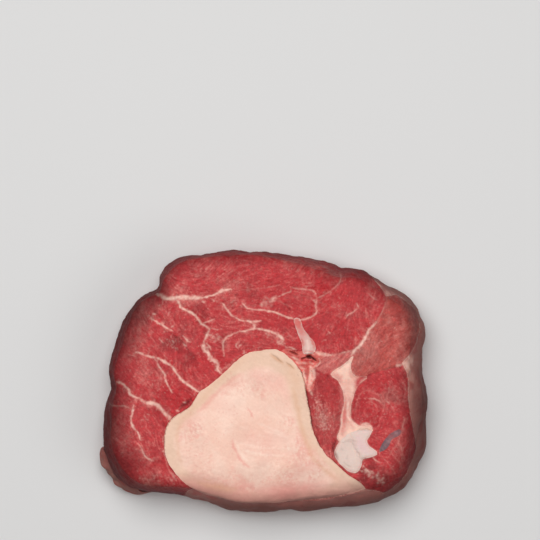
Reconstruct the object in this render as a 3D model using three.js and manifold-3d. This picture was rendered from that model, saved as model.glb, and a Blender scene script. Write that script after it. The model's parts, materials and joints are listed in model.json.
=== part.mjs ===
// One thick slice sawn across a beef leg: the end of the shin bone, the muscles packed round it,
// the fat and tendons between them and the fat that covers the outside. It lies on one cut face
// with the other on top. X runs across its length, Y across its width, Z through its thickness.
import * as THREE from "three";
import { mergeVertices } from "three/addons/utils/BufferGeometryUtils.js";
import Module from "manifold-3d";

const wasm = await Module();
wasm.setup();

// Driving dimensions, in millimetres
const MEAT_HEIGHT = 32;
const TENDON_HEIGHT = 32.6;
const BONE_HEIGHT = 33.4;
const GAP = 0.3;

// The outer wall is widest below its middle, draws in to the upper cut face and tucks in at the base
const WIDEST_SHARE = 0.36;
const BASE_TUCK = 2.4;
const SHOULDER_MEAN = 5.2;
const SHOULDER_MORE_RIGHT = 2.1;
const SHOULDER_MORE_FRONT = 2.2;
const SHOULDER_CURVE = 2.3;
const WALL_SHARES = [0, 0.05, 0.18, 0.36, 0.55, 0.72, 0.86, 0.95, 1];
const EDGE_DROP = 0.9;
const FACE_SHARES = [0.965, 0.9, 0.78, 0.62, 0.44, 0.24];
const FACE_RELIEF = 0.5;
const FACE_WAVE = 15;
const WALL_STEP = 4.4;

// Seams between muscles: a slit right through, opening into a groove at the upper face
const SLIT_WIDTH = 0.5;
const GROOVE_WIDTH = 2.2;
const GROOVE_DEPTH = 1.6;
const SEAM_STEP = 3;
const CUT_BELOW = -2;
const CUT_ABOVE = 40;

// How finely a plan outline is walked, and the depth of the open end of the blood vessel
const OUTLINE_STEP = 2.4;
const FINE_STEP = 1.1;
const VESSEL_DEPTH = 7;
const VESSEL_BORE = [19, 11, 2.6, 0.9];

// The flap of fat, as heights and how far its outline swells or draws in there
const FLAP_SWELL = [[0, -0.9], [1.2, -0.2], [5, 0], [9.5, -0.4], [12.5, -1.2], [14, -2.4]];

// Plan outlines seen from above, each a few points on a smooth closed curve
const SILHOUETTE = [
  [69.5, -7], [68, 1], [67.5, 14], [67, 28], [62.5, 34.5], [54.5, 39.5], [47.5, 45], [41, 48],
  [34, 47.2], [27, 50], [11, 54.5], [-4, 56], [-22, 55], [-36, 52.5], [-42.5, 46.5], [-43.8, 39],
  [-50, 36.7], [-55.5, 32], [-59.5, 24], [-63, 13], [-65.5, 5], [-63.8, -3], [-66, -9], [-67, -20],
  [-67.3, -27.5], [-63.5, -37], [-55.5, -44.2], [-45, -46], [-37.5, -47], [-28, -49.2], [-15, -53.5],
  [-2, -55], [14, -54], [32, -51.6], [45, -50.4], [57, -46.5], [65, -36.5], [67.7, -26], [68.8, -14],
];
const BONE = [
  [-41.5, -23.5], [-40, -32], [-34.5, -40], [-27, -45.4], [-16, -48.2], [-2, -49.6], [13, -49.4],
  [27, -48], [37, -45.8], [42.5, -43.2], [36.5, -39], [29, -32.3], [23.5, -26.5], [20, -16.5],
  [18, -4.5], [15.8, 5], [10.5, 11.6], [5, 14.4], [-2.5, 13.6], [-8.5, 11.8], [-14, 6.5],
  [-19.5, 2], [-26, -3.5], [-31, -9.8], [-37, -13.6], [-40.2, -17],
];
const CORE = [
  [-37, -23.5], [-34, -33.5], [-26.5, -40.5], [-15, -43.6], [0, -45], [15.5, -44.6], [27.5, -42.4],
  [31, -38.2], [24.5, -32.4], [18.3, -26], [13.8, -16.5], [11, -6], [8, 2.2], [2.5, 6.4],
  [-5.5, 6], [-12.8, 1.4], [-20, -4.6], [-26.5, -11.6], [-33.6, -16.8],
];
const TENDON_STRIP = [
  [13, 27], [15, 27.2], [16.2, 23.5], [19, 20], [21.2, 17], [21, 13], [17, 12.6], [16, 17.5], [14, 22.5],
];
const VESSEL_BUNDLE = [
  [7, 12.5], [9, 14.6], [13.5, 13.8], [18, 13.4], [25.5, 12.2], [23.4, 9.6], [21.4, 6.6], [16, 5.2],
  [13, 8],
];
const NERVE_TUBE = [[18.4, 7.2], [20.8, 4], [20.8, -1], [19.4, -3.4], [16.8, -2], [16, 2.5]];
const FAT_SEAM = [
  [37.6, 11.6], [34, 8.2], [28.4, 4], [31.6, 1.4], [34, -5.5], [33.2, -12], [32.4, -18], [31, -22.6],
  [33.4, -24.6], [38, -20.4], [42, -19.2], [45.4, -20], [44.8, -17.6], [40.5, -17.8], [36.8, -14.5],
  [36.6, -9.5], [39.4, -1], [43.6, 3], [38.5, 3.2], [36.4, 6.5],
];
const TENDON_LARGE = [
  [30, -29.6], [31.2, -25.6], [35.4, -21.4], [40.5, -19.6], [45.2, -19.6], [43.4, -23.6],
  [44.6, -26.2], [47.8, -29], [44.5, -30.6], [41.4, -31.6], [40.9, -35], [38.6, -37], [34.6, -35.6],
];
const TENDON_SMALL = [
  [49, -28.4], [50.8, -24], [53.8, -20.8], [57.8, -19.2], [57.4, -21.4], [53.8, -23.4], [51.8, -26.6],
];

// The fat cover lies outside this line, which starts and ends beyond the slice
const FAT_COVER_EDGE = [
  [43.5, 54], [45.2, 45.4], [49, 40.2], [51.8, 36.4], [54.8, 37.6], [60.5, 34.4], [65.2, 31], [65.9, 25],
  [65.3, 19.5], [62.8, 13.4], [58.6, 8.6], [60.6, 4], [61, -5], [61.6, -12], [63.4, -20], [64.9, -27],
  [63.2, -33.5], [58.6, -40.4], [52, -45.6], [44, -44.4], [36, -44.2], [20, -46], [0, -47],
  [-16, -46.2], [-26, -43.5], [-33, -46.8], [-35, -56],
];
const FAT_COVER_BEYOND = [[-20, -70], [50, -70], [85, -50], [85, 40], [60, 62]];

// The loose flap of fat low on the outside, and the slice's own side behind it
const FAT_FLAP = [
  [-64.5, -26.5], [-69, -27.8], [-69.6, -31], [-67, -37.5], [-62.5, -42], [-57.5, -46], [-50.5, -47.4],
  [-46.5, -46.6], [-48, -42], [-60, -36],
];

// Seams between the muscles, each running on into what ends it
const SEAMS = [
  [[-51, 40], [-43.5, 37.2], [-38.5, 35.6], [-28, 36.6], [-19, 38.6], [-8, 40], [6, 40.4], [17, 39.8],
    [21.5, 37.6], [22.2, 34]],
  [[14.6, 25], [18, 27.6], [21.2, 30.2], [22.2, 34.6], [27.2, 38.8], [32, 44.4], [34, 55]],
  [[-38.4, 37], [-35, 33], [-29, 29.4], [-25, 25.4], [-22.8, 22], [-25.2, 15.4], [-22, 11], [-19, 7.6],
    [-16, 1]],
  [[-71, 6.4], [-61, 11.4], [-53, 13], [-45, 11.2], [-39, 8], [-33.5, 1.6], [-22, -6]],
  [[-71, -3], [-62, 0.6], [-57, -2.2], [-54.5, -5.8], [-47, -8], [-41.5, -11.5], [-34, -18]],
  [[37, 8], [38.6, 13], [44.6, 22.6], [49.6, 30.6], [53.5, 41]],
  [[22, 11], [27, 12], [35, 13.4], [41, 15]],
  [[17.6, 6], [22, 5.4], [27, 3.8], [32, 3]],
  [[38, 1.4], [45, 4.2], [54, 6.6], [62, 9]],
  [[34, -33], [35.5, -41]],
];

// Each muscle is the body of flesh that holds the point given with its name and looks
const FLESH_ROUGHNESS = 0.5;
const MUSCLES = [
  ["muscle_top", [-8, 47], 0xa9474a],
  ["muscle_centre", [-5, 29], 0xb5484b],
  ["muscle_left", [-45, 25], 0xb2474a],
  ["muscle_left_mid", [-52, 4], 0xad4347],
  ["muscle_lower_left", [-52, -30], 0xa84044],
  ["muscle_upper_right", [34, 29], 0xb44a4c],
  ["muscle_right", [56, 20], 0xbb6f68],
  ["muscle_small", [29, 8.4], 0xa84347],
  ["muscle_inner", [26, -8], 0x9c3a3e],
  ["muscle_lower_right", [51, -8], 0xaf5250],
];

// A smooth closed curve through plan points, as evenly spaced points
function closedOutline(points, step) {
  const curve = new THREE.CatmullRomCurve3(points.map(([x, y]) => new THREE.Vector3(x, y, 0)), true);
  const count = Math.max(8, Math.round(curve.getLength() / step));
  return curve.getSpacedPoints(count).slice(0, count).map((p) => new THREE.Vector2(p.x, p.y));
}

// A smooth open curve through plan points, as evenly spaced points
function openOutline(points, step) {
  const curve = new THREE.CatmullRomCurve3(points.map(([x, y]) => new THREE.Vector3(x, y, 0)));
  const count = Math.max(2, Math.round(curve.getLength() / step));
  return curve.getSpacedPoints(count).map((p) => new THREE.Vector2(p.x, p.y));
}

// A closed outline moved outwards by a distance
function grown(outline, distance) {
  const turn = THREE.ShapeUtils.isClockWise(outline) ? -1 : 1;
  return outline.map((point, i) => {
    const before = outline[(i + outline.length - 1) % outline.length];
    const after = outline[(i + 1) % outline.length];
    const along = after.clone().sub(before).normalize();
    return new THREE.Vector2(point.x + turn * along.y * distance, point.y - turn * along.x * distance);
  });
}

// How far the upper cut face's edge lies inside the widest outline, by direction from the centre
function shoulder(x, y) {
  const reach = Math.hypot(x, y);
  return SHOULDER_MEAN + (SHOULDER_MORE_RIGHT * x - SHOULDER_MORE_FRONT * y) / reach;
}

// The gentle rise and fall of the sawn face
function faceRelief(x, y) {
  const wave = Math.sin(x / FACE_WAVE + 0.7) * Math.cos(y / FACE_WAVE - 0.4);
  return FACE_RELIEF * (wave + 0.5 * Math.sin((x + 2 * y) / FACE_WAVE));
}

// A point of the widest outline brought to its place on the wall at a share of the height
function wallPoint(point, share, height, extra) {
  const reach = point.length();
  const full = shoulder(point.x, point.y);
  let inset = 0;
  if (share > WIDEST_SHARE) {
    inset = full * ((share - WIDEST_SHARE) / (1 - WIDEST_SHARE)) ** SHOULDER_CURVE;
  } else {
    inset = BASE_TUCK * ((WIDEST_SHARE - share) / WIDEST_SHARE) ** 2;
  }
  const scale = (reach - inset + extra) / reach;
  const z = share === 1 ? height - EDGE_DROP : share * (height - EDGE_DROP);
  return new THREE.Vector3(point.x * scale, point.y * scale, z);
}

// A closed solid from rings of points, lowest first, capped by a fan at each end
function loft(rings) {
  const count = rings[0].length;
  const middle = (ring) =>
    ring.reduce((sum, p) => sum.add(p), new THREE.Vector3()).divideScalar(ring.length);
  const points = [...rings.flat(), middle(rings[0]), middle(rings.at(-1))];
  const low = points.length - 2;
  const high = points.length - 1;
  const last = (rings.length - 1) * count;
  const index = [];
  for (let i = 0; i < count; i += 1) {
    const next = (i + 1) % count;
    index.push(low, next, i, high, last + i, last + next);
    for (let base = 0; base < last; base += count) {
      index.push(base + i, base + next, base + count + i);
      index.push(base + next, base + count + next, base + count + i);
    }
  }
  const geometry = new THREE.BufferGeometry().setFromPoints(points);
  geometry.setIndex(index);
  return geometry;
}

// The whole slice with nothing cut from it, for a height, and swollen sideways where asked
function envelope(height, extra = 0) {
  const rim = closedOutline(SILHOUETTE, WALL_STEP);
  const rings = WALL_SHARES.map((share) => rim.map((p) => wallPoint(p, share, height, extra)));
  const edge = rings.at(-1);
  for (const share of FACE_SHARES) {
    rings.push(
      edge.map(({ x, y }) => {
        const settled = Math.min(1, (1 - share) / (1 - FACE_SHARES[1]));
        return new THREE.Vector3(x * share, y * share, height + settled * faceRelief(x * share, y * share));
      }),
    );
  }
  return solidOf(loft(rings));
}

// An upright solid over a plan outline
function prism(outline, low, high) {
  const geometry = new THREE.ExtrudeGeometry(new THREE.Shape(outline), {
    depth: high - low,
    bevelEnabled: false,
  });
  return solidOf(geometry.translate(0, 0, low));
}

// What a seam takes out: a slit with a groove along its top
function seamCutter(points) {
  const path = openOutline(points, SEAM_STEP);
  const slit = SLIT_WIDTH / 2;
  const spread = (CUT_ABOVE - MEAT_HEIGHT + GROOVE_DEPTH) / GROOVE_DEPTH;
  const wide = slit + (GROOVE_WIDTH / 2 - slit) * spread;
  const root = MEAT_HEIGHT - GROOVE_DEPTH;
  const section = [
    [-slit, CUT_BELOW],
    [-slit, root],
    [-wide, CUT_ABOVE],
    [wide, CUT_ABOVE],
    [slit, root],
    [slit, CUT_BELOW],
  ];
  const rings = path.map((point, i) => {
    const before = path[Math.max(0, i - 1)];
    const after = path[Math.min(path.length - 1, i + 1)];
    const along = after.clone().sub(before).normalize();
    return section.map(([side, z]) => new THREE.Vector3(point.x + along.y * side, point.y - along.x * side, z));
  });
  return solidOf(loft(rings));
}

// A geometry as a solid that can be cut
function solidOf(geometry) {
  const bare = geometry.index ? geometry.toNonIndexed() : geometry.clone();
  bare.deleteAttribute("normal");
  bare.deleteAttribute("uv");
  const merged = mergeVertices(bare, 1e-4);
  return new wasm.Manifold(
    new wasm.Mesh({
      numProp: 3,
      vertProperties: merged.attributes.position.array,
      triVerts: new Uint32Array(merged.index.array),
    }),
  );
}

// A cut solid as a mesh geometry
function geometryOf(solid) {
  const { vertProperties, triVerts } = solid.getMesh();
  const geometry = new THREE.BufferGeometry();
  geometry.setAttribute("position", new THREE.BufferAttribute(vertProperties, 3));
  geometry.setIndex(new THREE.BufferAttribute(triVerts, 1));
  geometry.computeVertexNormals();
  return geometry;
}

// The largest of a solid's separate bodies: a cut can leave scraps beside it
function largest(solid) {
  return solid.decompose().sort((a, b) => b.volume() - a.volume())[0];
}

// The body that holds a plan point at mid height
function bodyAt(bodies, [x, y]) {
  const probe = solidOf(new THREE.BoxGeometry(1, 1, 1).translate(x, y, MEAT_HEIGHT / 2));
  return bodies.find((body) => !body.intersect(probe).isEmpty());
}

function named(name, solid, color, roughness) {
  const material = new THREE.MeshStandardMaterial({ color, roughness, metalness: 0 });
  const mesh = new THREE.Mesh(geometryOf(solid), material);
  mesh.name = name;
  return mesh;
}

// The plan outlines of everything set in the flesh, in the order in which they take their room
const plan = {
  bone_core: closedOutline(CORE, OUTLINE_STEP),
  bone_wall: closedOutline(BONE, OUTLINE_STEP),
  tendon_strip: closedOutline(TENDON_STRIP, FINE_STEP),
  tendon_large: closedOutline(TENDON_LARGE, FINE_STEP),
  tendon_small: closedOutline(TENDON_SMALL, FINE_STEP),
  nerve_tube: closedOutline(NERVE_TUBE, FINE_STEP),
  vessel_bundle: closedOutline(VESSEL_BUNDLE, FINE_STEP),
  fat_seam: closedOutline(FAT_SEAM, FINE_STEP),
  fat_cover: [
    ...openOutline(FAT_COVER_EDGE, OUTLINE_STEP),
    ...FAT_COVER_BEYOND.map(([x, y]) => new THREE.Vector2(x, y)),
  ],
};
const heights = {
  bone_core: BONE_HEIGHT,
  bone_wall: BONE_HEIGHT,
  tendon_strip: TENDON_HEIGHT,
  tendon_large: TENDON_HEIGHT,
  tendon_small: TENDON_HEIGHT,
  nerve_tube: MEAT_HEIGHT,
  vessel_bundle: MEAT_HEIGHT,
  fat_seam: MEAT_HEIGHT,
  fat_cover: MEAT_HEIGHT,
};
const colors = {
  bone_core: [0xe9c9b8, 0.65],
  bone_wall: [0xead2b4, 0.5],
  tendon_strip: [0xd8b8a6, 0.4],
  tendon_large: [0xdccabf, 0.35],
  tendon_small: [0x8a6a70, 0.4],
  nerve_tube: [0xb5605c, 0.5],
  vessel_bundle: [0xb56460, 0.5],
  fat_seam: [0xdcab98, 0.45],
  fat_cover: [0xdfae98, 0.45],
};

// The set-in pieces, each clear of those before it
function setInPieces() {
  const shells = new Map();
  for (const height of new Set(Object.values(heights))) {
    shells.set(height, envelope(height));
  }
  const taken = [];
  return Object.entries(plan).map(([name, outline]) => {
    let solid = shells.get(heights[name]).intersect(prism(outline, CUT_BELOW, CUT_ABOVE));
    for (const room of taken) {
      solid = solid.subtract(room);
    }
    taken.push(prism(grown(outline, GAP), CUT_BELOW, CUT_ABOVE));
    if (name === "vessel_bundle") {
      solid = solid.subtract(vesselBore());
    }
    return named(name, largest(solid), ...colors[name]);
  });
}

// The open end of the cut vessel, a flattened blind hole
function vesselBore() {
  const [x, y, long, short] = VESSEL_BORE;
  const outline = new THREE.EllipseCurve(x, y, long, short).getPoints(16).slice(0, 16);
  return prism(outline, MEAT_HEIGHT - VESSEL_DEPTH, CUT_ABOVE);
}

// The muscles: the flesh that is left, parted along the seams
function muscles() {
  let flesh = envelope(MEAT_HEIGHT);
  for (const outline of Object.values(plan)) {
    flesh = flesh.subtract(prism(grown(outline, GAP), CUT_BELOW, CUT_ABOVE));
  }
  for (const seam of SEAMS) {
    flesh = flesh.subtract(seamCutter(seam));
  }
  const bodies = flesh.decompose();
  return MUSCLES.map(([name, place, color]) => named(name, bodyAt(bodies, place), color, FLESH_ROUGHNESS));
}

// The flap of fat that lies loose against the foot of the wall
function fatFlap() {
  const outline = closedOutline(FAT_FLAP, OUTLINE_STEP);
  const rings = FLAP_SWELL.map(([z, by]) => grown(outline, by).map((p) => new THREE.Vector3(p.x, p.y, z)));
  const solid = solidOf(loft(rings)).subtract(envelope(MEAT_HEIGHT, GAP));
  return named("fat_flap", largest(solid), ...colors.fat_cover);
}

// The part stands on the origin, which is under the middle of its box
const slice = new THREE.Group();
const pieces = new THREE.Group();
pieces.add(...setInPieces(), ...muscles(), fatFlap());
const middle = new THREE.Box3().setFromObject(pieces, true).getCenter(new THREE.Vector3());
pieces.position.set(-middle.x, -middle.y, 0);
slice.add(pieces);

export default slice;
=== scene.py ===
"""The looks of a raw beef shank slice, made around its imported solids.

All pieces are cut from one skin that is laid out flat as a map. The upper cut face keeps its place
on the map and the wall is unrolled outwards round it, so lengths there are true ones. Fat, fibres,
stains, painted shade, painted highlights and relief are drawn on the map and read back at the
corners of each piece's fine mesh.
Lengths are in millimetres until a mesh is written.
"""

import json
import math
from collections import namedtuple

import bpy
import numpy as np
from mathutils.geometry import delaunay_2d_cdt
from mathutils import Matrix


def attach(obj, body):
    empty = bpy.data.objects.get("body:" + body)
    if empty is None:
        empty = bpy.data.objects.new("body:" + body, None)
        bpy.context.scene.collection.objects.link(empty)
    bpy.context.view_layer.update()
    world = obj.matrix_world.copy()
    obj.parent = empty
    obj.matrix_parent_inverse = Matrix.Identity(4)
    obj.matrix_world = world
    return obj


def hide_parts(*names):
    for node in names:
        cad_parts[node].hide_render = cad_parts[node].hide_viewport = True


MM = 0.001

# How the photograph's pixels lie on the part: the size of one, and the one over the part's origin
PIXEL_MM = 0.42
ORIGIN_PX = (263.3, 382.8)
PICTURE_PX = 540

# The skin: its face level, and the levels at which the wall is read from the solids
FACE_Z = 32.0
WIDEST_Z = 11.2
WALL_LEVELS = (30.9, 29.5, 26.8, 22.4, 17.1, WIDEST_Z, 5.6, 1.6, 0.02)
# Where the face rounds over: how far inside the highest level, and how far below the face
EDGE_ROUND = ((4.0, 0.0), (1.9, 0.12))
# The wall is kept as tables: a row for each direction, and even steps down the wall along it
DIRECTIONS = 720
PROFILE_STEPS = 96
PROFILE_CURVE_STEP = 0.3
CUT_SAMPLES = 24
REACH_SHIFTS = (-2, -1, 0, 1, 2)
REACH_BLUR = 3
# The share of the way down the wall that counts as the base
AT_BASE = 0.999
# A solid's outline this near to the outermost reach is the slice's own outline
WALL_NEAR = 0.2
SAME_PLACE = 0.02
# Keeps divisions safe
TINY = 1e-9

# The map
CELL = 0.2
MAP_HALF = (116.0, 106.0)
# How much wider a noise's blots are than the blur that makes them
BLOT_WIDTH = 2.4

# Strokes: the step between dabs, the dabs between changes of width and way, how much the width
# changes, how thin and faint the ends are, and how long the taper is in widths and beyond them
STROKE_STEP = 0.22
CHANGE_EVERY = 8
SWELL = 0.22
THIN_END = 0.45
FAINT_END = 0.6
TAPER_WIDTHS = 1.5
TAPER_MORE = 0.5
LEAST_RADIUS = 0.05
LEAST_SOFT = 0.18
# The fine hairs of a stroke: how many to a dab, how many widths from the middle they start, and
# their slant, length, step, radius and strength
HAIR_SHARE = 0.22
HAIR_FROM = 0.4
HAIR_SLANT = 1.2
HAIR_LENGTH = (0.5, 1.8)
HAIR_STEP = 0.2
HAIR_RADIUS = 0.08
HAIR_STRENGTH = (0.25, 0.6)
# Spots and flecks: the shares of their full size and strength that they have at random
SPOT_SIZE = (0.4, 1.3)
UNEVEN = (0.4, 1.0)
SPOT_SOFT = 0.2

# The outlines of the pieces: their steps, what counts as a corner, and how far they wander
EDGE_STEP = 0.34
OUTLINE_STEP = 1.5 * EDGE_STEP
CORNER_DEG = 42
WANDER_MM = 0.13
RIPPLE_MM = 0.045
WANDER_SIZE = 3.5
WANDER_BLUR = 0.2
RIPPLE_SIZE = 1.2
# How many points a loop may have that is cut out, how close points may lie, and a spike's cosine
LOOP_POINTS = 60
CROWDED = 0.06
SPIKE = -0.95
SPACING_ROUNDS = 3
# A sharp corner moves out by twice the distance at most
SHARPEST = 0.5

# The meshes
FACE_STEP = 0.34
WALL_STEP = 0.6
WALL_STEP_FROM = 9.0
BASE_STEP = 1.1
CLEAR_OF_EDGE = 0.55
EDGE_DIP = 0.035
NEAR_FOOT = 0.2
SHARP_DEG = 50
# The share of the base's reach within which the hidden sides run straight down
UPRIGHT = 0.86

# How far each piece grows to close the narrow gap that the solids keep, and how proud it stands
MUSCLE_GROWN = 0.36
OTHER_GROWN = 0.2
LIFT = {
    "bone_core": 1.2,
    "bone_wall": 1.2,
    "tendon_strip": 0.3,
    "tendon_large": 0.4,
    "tendon_small": 0.06,
    "nerve_tube": 0.15,
    "vessel_bundle": 0.12,
    "fat_seam": 0.14,
    "fat_cover": 0.1,
}
LIFT_FADE = (7.0, 14.0)

# The loose flap of fat: its mesh, its smoothing, its lumps, and the height below which its painted shadow is
# lighter
FLAP_VOXEL = 0.4
FLAP_SMOOTHING = 0.6
FLAP_SMOOTHINGS = 6
FLAP_LUMPS_OUT = 0.45
FLAP_LUMPS_UP = 0.4
FLAP_LUMPS_SLANT = 0.7
FLAP_LUMPS_FADE = (2.0, 6.0)
FLAP_LIT_BELOW = (1.5, 6.5)
# How pale, how lit under its painted shadow and how red the flap is, each with what its tint adds, and how
# much more painted light it has low down
FLAP_PALE = (0.3, 0.2)
FLAP_LIGHT = (0.36, 0.04)
FLAP_BLUSH = (0.8, 0.15)
FLAP_LIT_MORE = 0.25

# Each muscle's paleness, how much light it keeps, its fibres' direction and how far they swirl
Muscle = namedtuple("Muscle", "pale light fibre_deg swirl")
MUSCLES = {
    "muscle_top": Muscle(0.12, 1.0, 8, 0.2),
    "muscle_centre": Muscle(0.05, 1.0, -12, 0.5),
    "muscle_left": Muscle(0.1, 1.0, -52, 0.3),
    "muscle_left_mid": Muscle(0.1, 0.98, -40, 0.3),
    "muscle_lower_left": Muscle(0.1, 1.0, -58, 0.3),
    "muscle_upper_right": Muscle(0.04, 0.98, 62, 0.6),
    "muscle_right": Muscle(0.16, 0.95, 50, 0.3),
    "muscle_small": Muscle(0.5, 1.0, 20, 0.2),
    "muscle_inner": Muscle(0.1, 0.96, -72, 0.2),
    "muscle_lower_right": Muscle(0.06, 0.97, -46, 1.0),
}

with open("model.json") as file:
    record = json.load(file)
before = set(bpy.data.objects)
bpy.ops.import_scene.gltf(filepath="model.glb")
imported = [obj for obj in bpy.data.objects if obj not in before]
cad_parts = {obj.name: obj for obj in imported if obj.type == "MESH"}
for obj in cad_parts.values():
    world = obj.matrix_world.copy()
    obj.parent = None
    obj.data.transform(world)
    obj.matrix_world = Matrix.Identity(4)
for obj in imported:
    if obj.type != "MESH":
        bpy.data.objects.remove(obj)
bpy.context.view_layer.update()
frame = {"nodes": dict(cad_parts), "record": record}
SLOTS = {part["node"]: part["material_slot"] for part in frame["record"]["subparts"]}
NODES = sorted(frame["nodes"])
SET_IN = [name for name in NODES if name != "fat_flap"]


# Small helpers

def smoothstep(low, high, value):
    """0 below low, 1 above high, and a smooth rise between."""
    share = np.clip((value - low) / (high - low), 0.0, 1.0)
    return share * share * (3.0 - 2.0 * share)


def from_pixels(points):
    """Pixels of the photograph as places on the part's face."""
    pixels = np.asarray(points, float)
    return np.column_stack([
        (pixels[:, 0] - ORIGIN_PX[0]) * PIXEL_MM,
        (ORIGIN_PX[1] - pixels[:, 1]) * PIXEL_MM,
    ])


def curve(points, step, closed=False):
    """A smooth curve through points, as points about a step apart."""
    points = np.asarray(points, float)
    if len(points) < 3 and not closed:
        count = max(1, int(np.linalg.norm(points[1] - points[0]) / step))
        share = np.linspace(0.0, 1.0, count + 1)[:, None]
        return points[0] + share * (points[1] - points[0])
    if closed:
        knots = np.vstack([points[-1], points, points[0], points[1]])
    else:
        knots = np.vstack([2 * points[0] - points[1], points, 2 * points[-1] - points[-2]])
    runs = []
    for a, b, c, d in zip(knots, knots[1:], knots[2:], knots[3:]):
        count = max(1, int(round(np.linalg.norm(c - b) / step)))
        t = (np.arange(count) / count)[:, None]
        runs.append(0.5 * (2 * b + (c - a) * t + (2 * a - 5 * b + 4 * c - d) * t ** 2
                           + (3 * b - a - 3 * c + d) * t ** 3))
    if not closed:
        runs.append(points[-1:])
    return np.vstack(runs)


def across(a, b):
    """Twice the signed area between pairs of directions."""
    return a[:, 0] * b[:, 1] - a[:, 1] * b[:, 0]


def unit(directions):
    """Directions with length 1."""
    return directions / np.maximum(np.linalg.norm(directions, axis=1), TINY)[:, None]


# The solids, read at a level

def node_triangles(name):
    """The corners of a solid's triangles, with equal corners joined."""
    mesh = frame["nodes"][name].data
    mesh.calc_loop_triangles()
    corners = np.empty(len(mesh.vertices) * 3)
    mesh.vertices.foreach_get("co", corners)
    triangles = np.empty(len(mesh.loop_triangles) * 3, int)
    mesh.loop_triangles.foreach_get("vertices", triangles)
    places, index = np.unique(np.round(corners.reshape(-1, 3) / MM, 3), axis=0, return_inverse=True)
    triangles = index.ravel()[triangles].reshape(-1, 3)
    whole = ((triangles[:, 0] != triangles[:, 1]) & (triangles[:, 1] != triangles[:, 2])
             & (triangles[:, 2] != triangles[:, 0]))
    return places, triangles[whole]


def level_segments(places, triangles, z):
    """Where a level cuts the triangles: each cut's two points, and the edges that they lie on."""
    above = places[triangles][:, :, 2] > z
    cut = triangles[(above.any(1)) & (~above.all(1))]
    points, edges = [], []
    for first, second in ((0, 1), (1, 2), (2, 0)):
        a, b = cut[:, first], cut[:, second]
        low, high = np.minimum(a, b), np.maximum(a, b)
        crossed = (places[a][:, 2] > z) != (places[b][:, 2] > z)
        rise = np.where(crossed, places[high][:, 2] - places[low][:, 2], 1.0)
        share = ((z - places[low][:, 2]) / rise)[:, None]
        crossing = places[low] + share * (places[high] - places[low])
        points.append(np.where(crossed[:, None], crossing, np.nan))
        edges.append(np.where(crossed, low * len(places) + high, -1))
    points, edges = np.stack(points, 1), np.stack(edges, 1)
    order = np.argsort(edges < 0, axis=1, kind="stable")[:, :2]
    rows = np.arange(len(cut))[:, None]
    return points[rows, order][:, :, :2], edges[rows, order]


def level_outlines(name, z):
    """The closed outlines that a level cuts from a solid, the longest first."""
    ends, edges = level_segments(*node_triangles(name), z)
    place, links = {}, {}
    for (p, q), (a, b) in zip(ends, edges):
        place[a], place[b] = p, q
        links.setdefault(a, []).append(b)
        links.setdefault(b, []).append(a)
    outlines = []
    while links:
        start = next(iter(links))
        walk, last, at = [start], None, start
        while True:
            onward = [e for e in links.pop(at) if e != last]
            last, at = at, onward[0] if onward else start
            if at not in links:
                break
            walk.append(at)
        outline = np.array([place[e] for e in walk])
        keep = np.linalg.norm(outline - np.roll(outline, 1, axis=0), axis=1) > SAME_PLACE
        outlines.append(outline[keep])
    return sorted(outlines, key=lambda outline: -np.linalg.norm(np.ptp(outline, axis=0)))


# The skin

def circular_blur(values, reach):
    """A closed row of numbers, each averaged with its neighbours."""
    offsets = np.arange(-3 * reach, 3 * reach + 1)
    weights = np.exp(-0.5 * (offsets / reach) ** 2)
    return sum(w * np.roll(values, o) for o, w in zip(offsets, weights)) / weights.sum()


def level_reach(z):
    """How far the solids reach at a level, in every direction."""
    reach = np.zeros(DIRECTIONS)
    for name in SET_IN:
        ends, _ = level_segments(*node_triangles(name), z)
        for share in np.linspace(0.0, 1.0, CUT_SAMPLES):
            at = ends[:, 0] + share * (ends[:, 1] - ends[:, 0])
            turn = np.arctan2(at[:, 1], at[:, 0]) / (2 * math.pi) * DIRECTIONS
            np.maximum.at(reach, np.round(turn).astype(int) % DIRECTIONS, np.hypot(*at.T))
    return reach


def wall_radii(z):
    """How far the skin reaches at a level, in every direction."""
    reach = level_reach(z)
    reach = np.maximum.reduce([np.roll(reach, shift) for shift in REACH_SHIFTS])
    return circular_blur(reach, REACH_BLUR)


def wall_profiles():
    """For every direction, the way from the face's edge down the wall: reach and level at even steps."""
    radii = np.array([wall_radii(z) for z in WALL_LEVELS])
    reach = np.vstack([radii[0] - inset for inset, _ in EDGE_ROUND] + [radii])
    level = np.array([FACE_Z - drop for _, drop in EDGE_ROUND] + [*WALL_LEVELS[:-1], 0.0])
    along_r = np.empty((DIRECTIONS, PROFILE_STEPS))
    along_z = np.empty((DIRECTIONS, PROFILE_STEPS))
    length = np.empty(DIRECTIONS)
    for i in range(DIRECTIONS):
        way = curve(np.column_stack([reach[:, i], level]), PROFILE_CURVE_STEP)
        run = np.concatenate([[0.0], np.cumsum(np.linalg.norm(np.diff(way, axis=0), axis=1))])
        length[i] = run[-1]
        even = np.linspace(0.0, run[-1], PROFILE_STEPS)
        along_r[i] = np.interp(even, run, way[:, 0])
        along_z[i] = np.interp(even, run, way[:, 1])
    return along_r, along_z, length


PROFILE_R, PROFILE_Z, WALL_LENGTH = wall_profiles()
FACE_REACH = PROFILE_R[:, 0]
WIDEST_REACH = PROFILE_R.max(axis=1)
WIDEST_STEP = PROFILE_R.argmax(axis=1)
BASE_REACH = PROFILE_R[:, -1]
OUTERMOST = level_reach(WIDEST_Z)


def turned(points):
    """The direction of each point as a place in the tables."""
    return (np.arctan2(points[:, 1], points[:, 0]) / (2 * math.pi) * DIRECTIONS) % DIRECTIONS


def by_direction(table, turn):
    """A table's value between two directions."""
    low = np.floor(turn).astype(int) % DIRECTIONS
    share = turn - np.floor(turn)
    return table[low] * (1 - share) + table[(low + 1) % DIRECTIONS] * share


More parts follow.
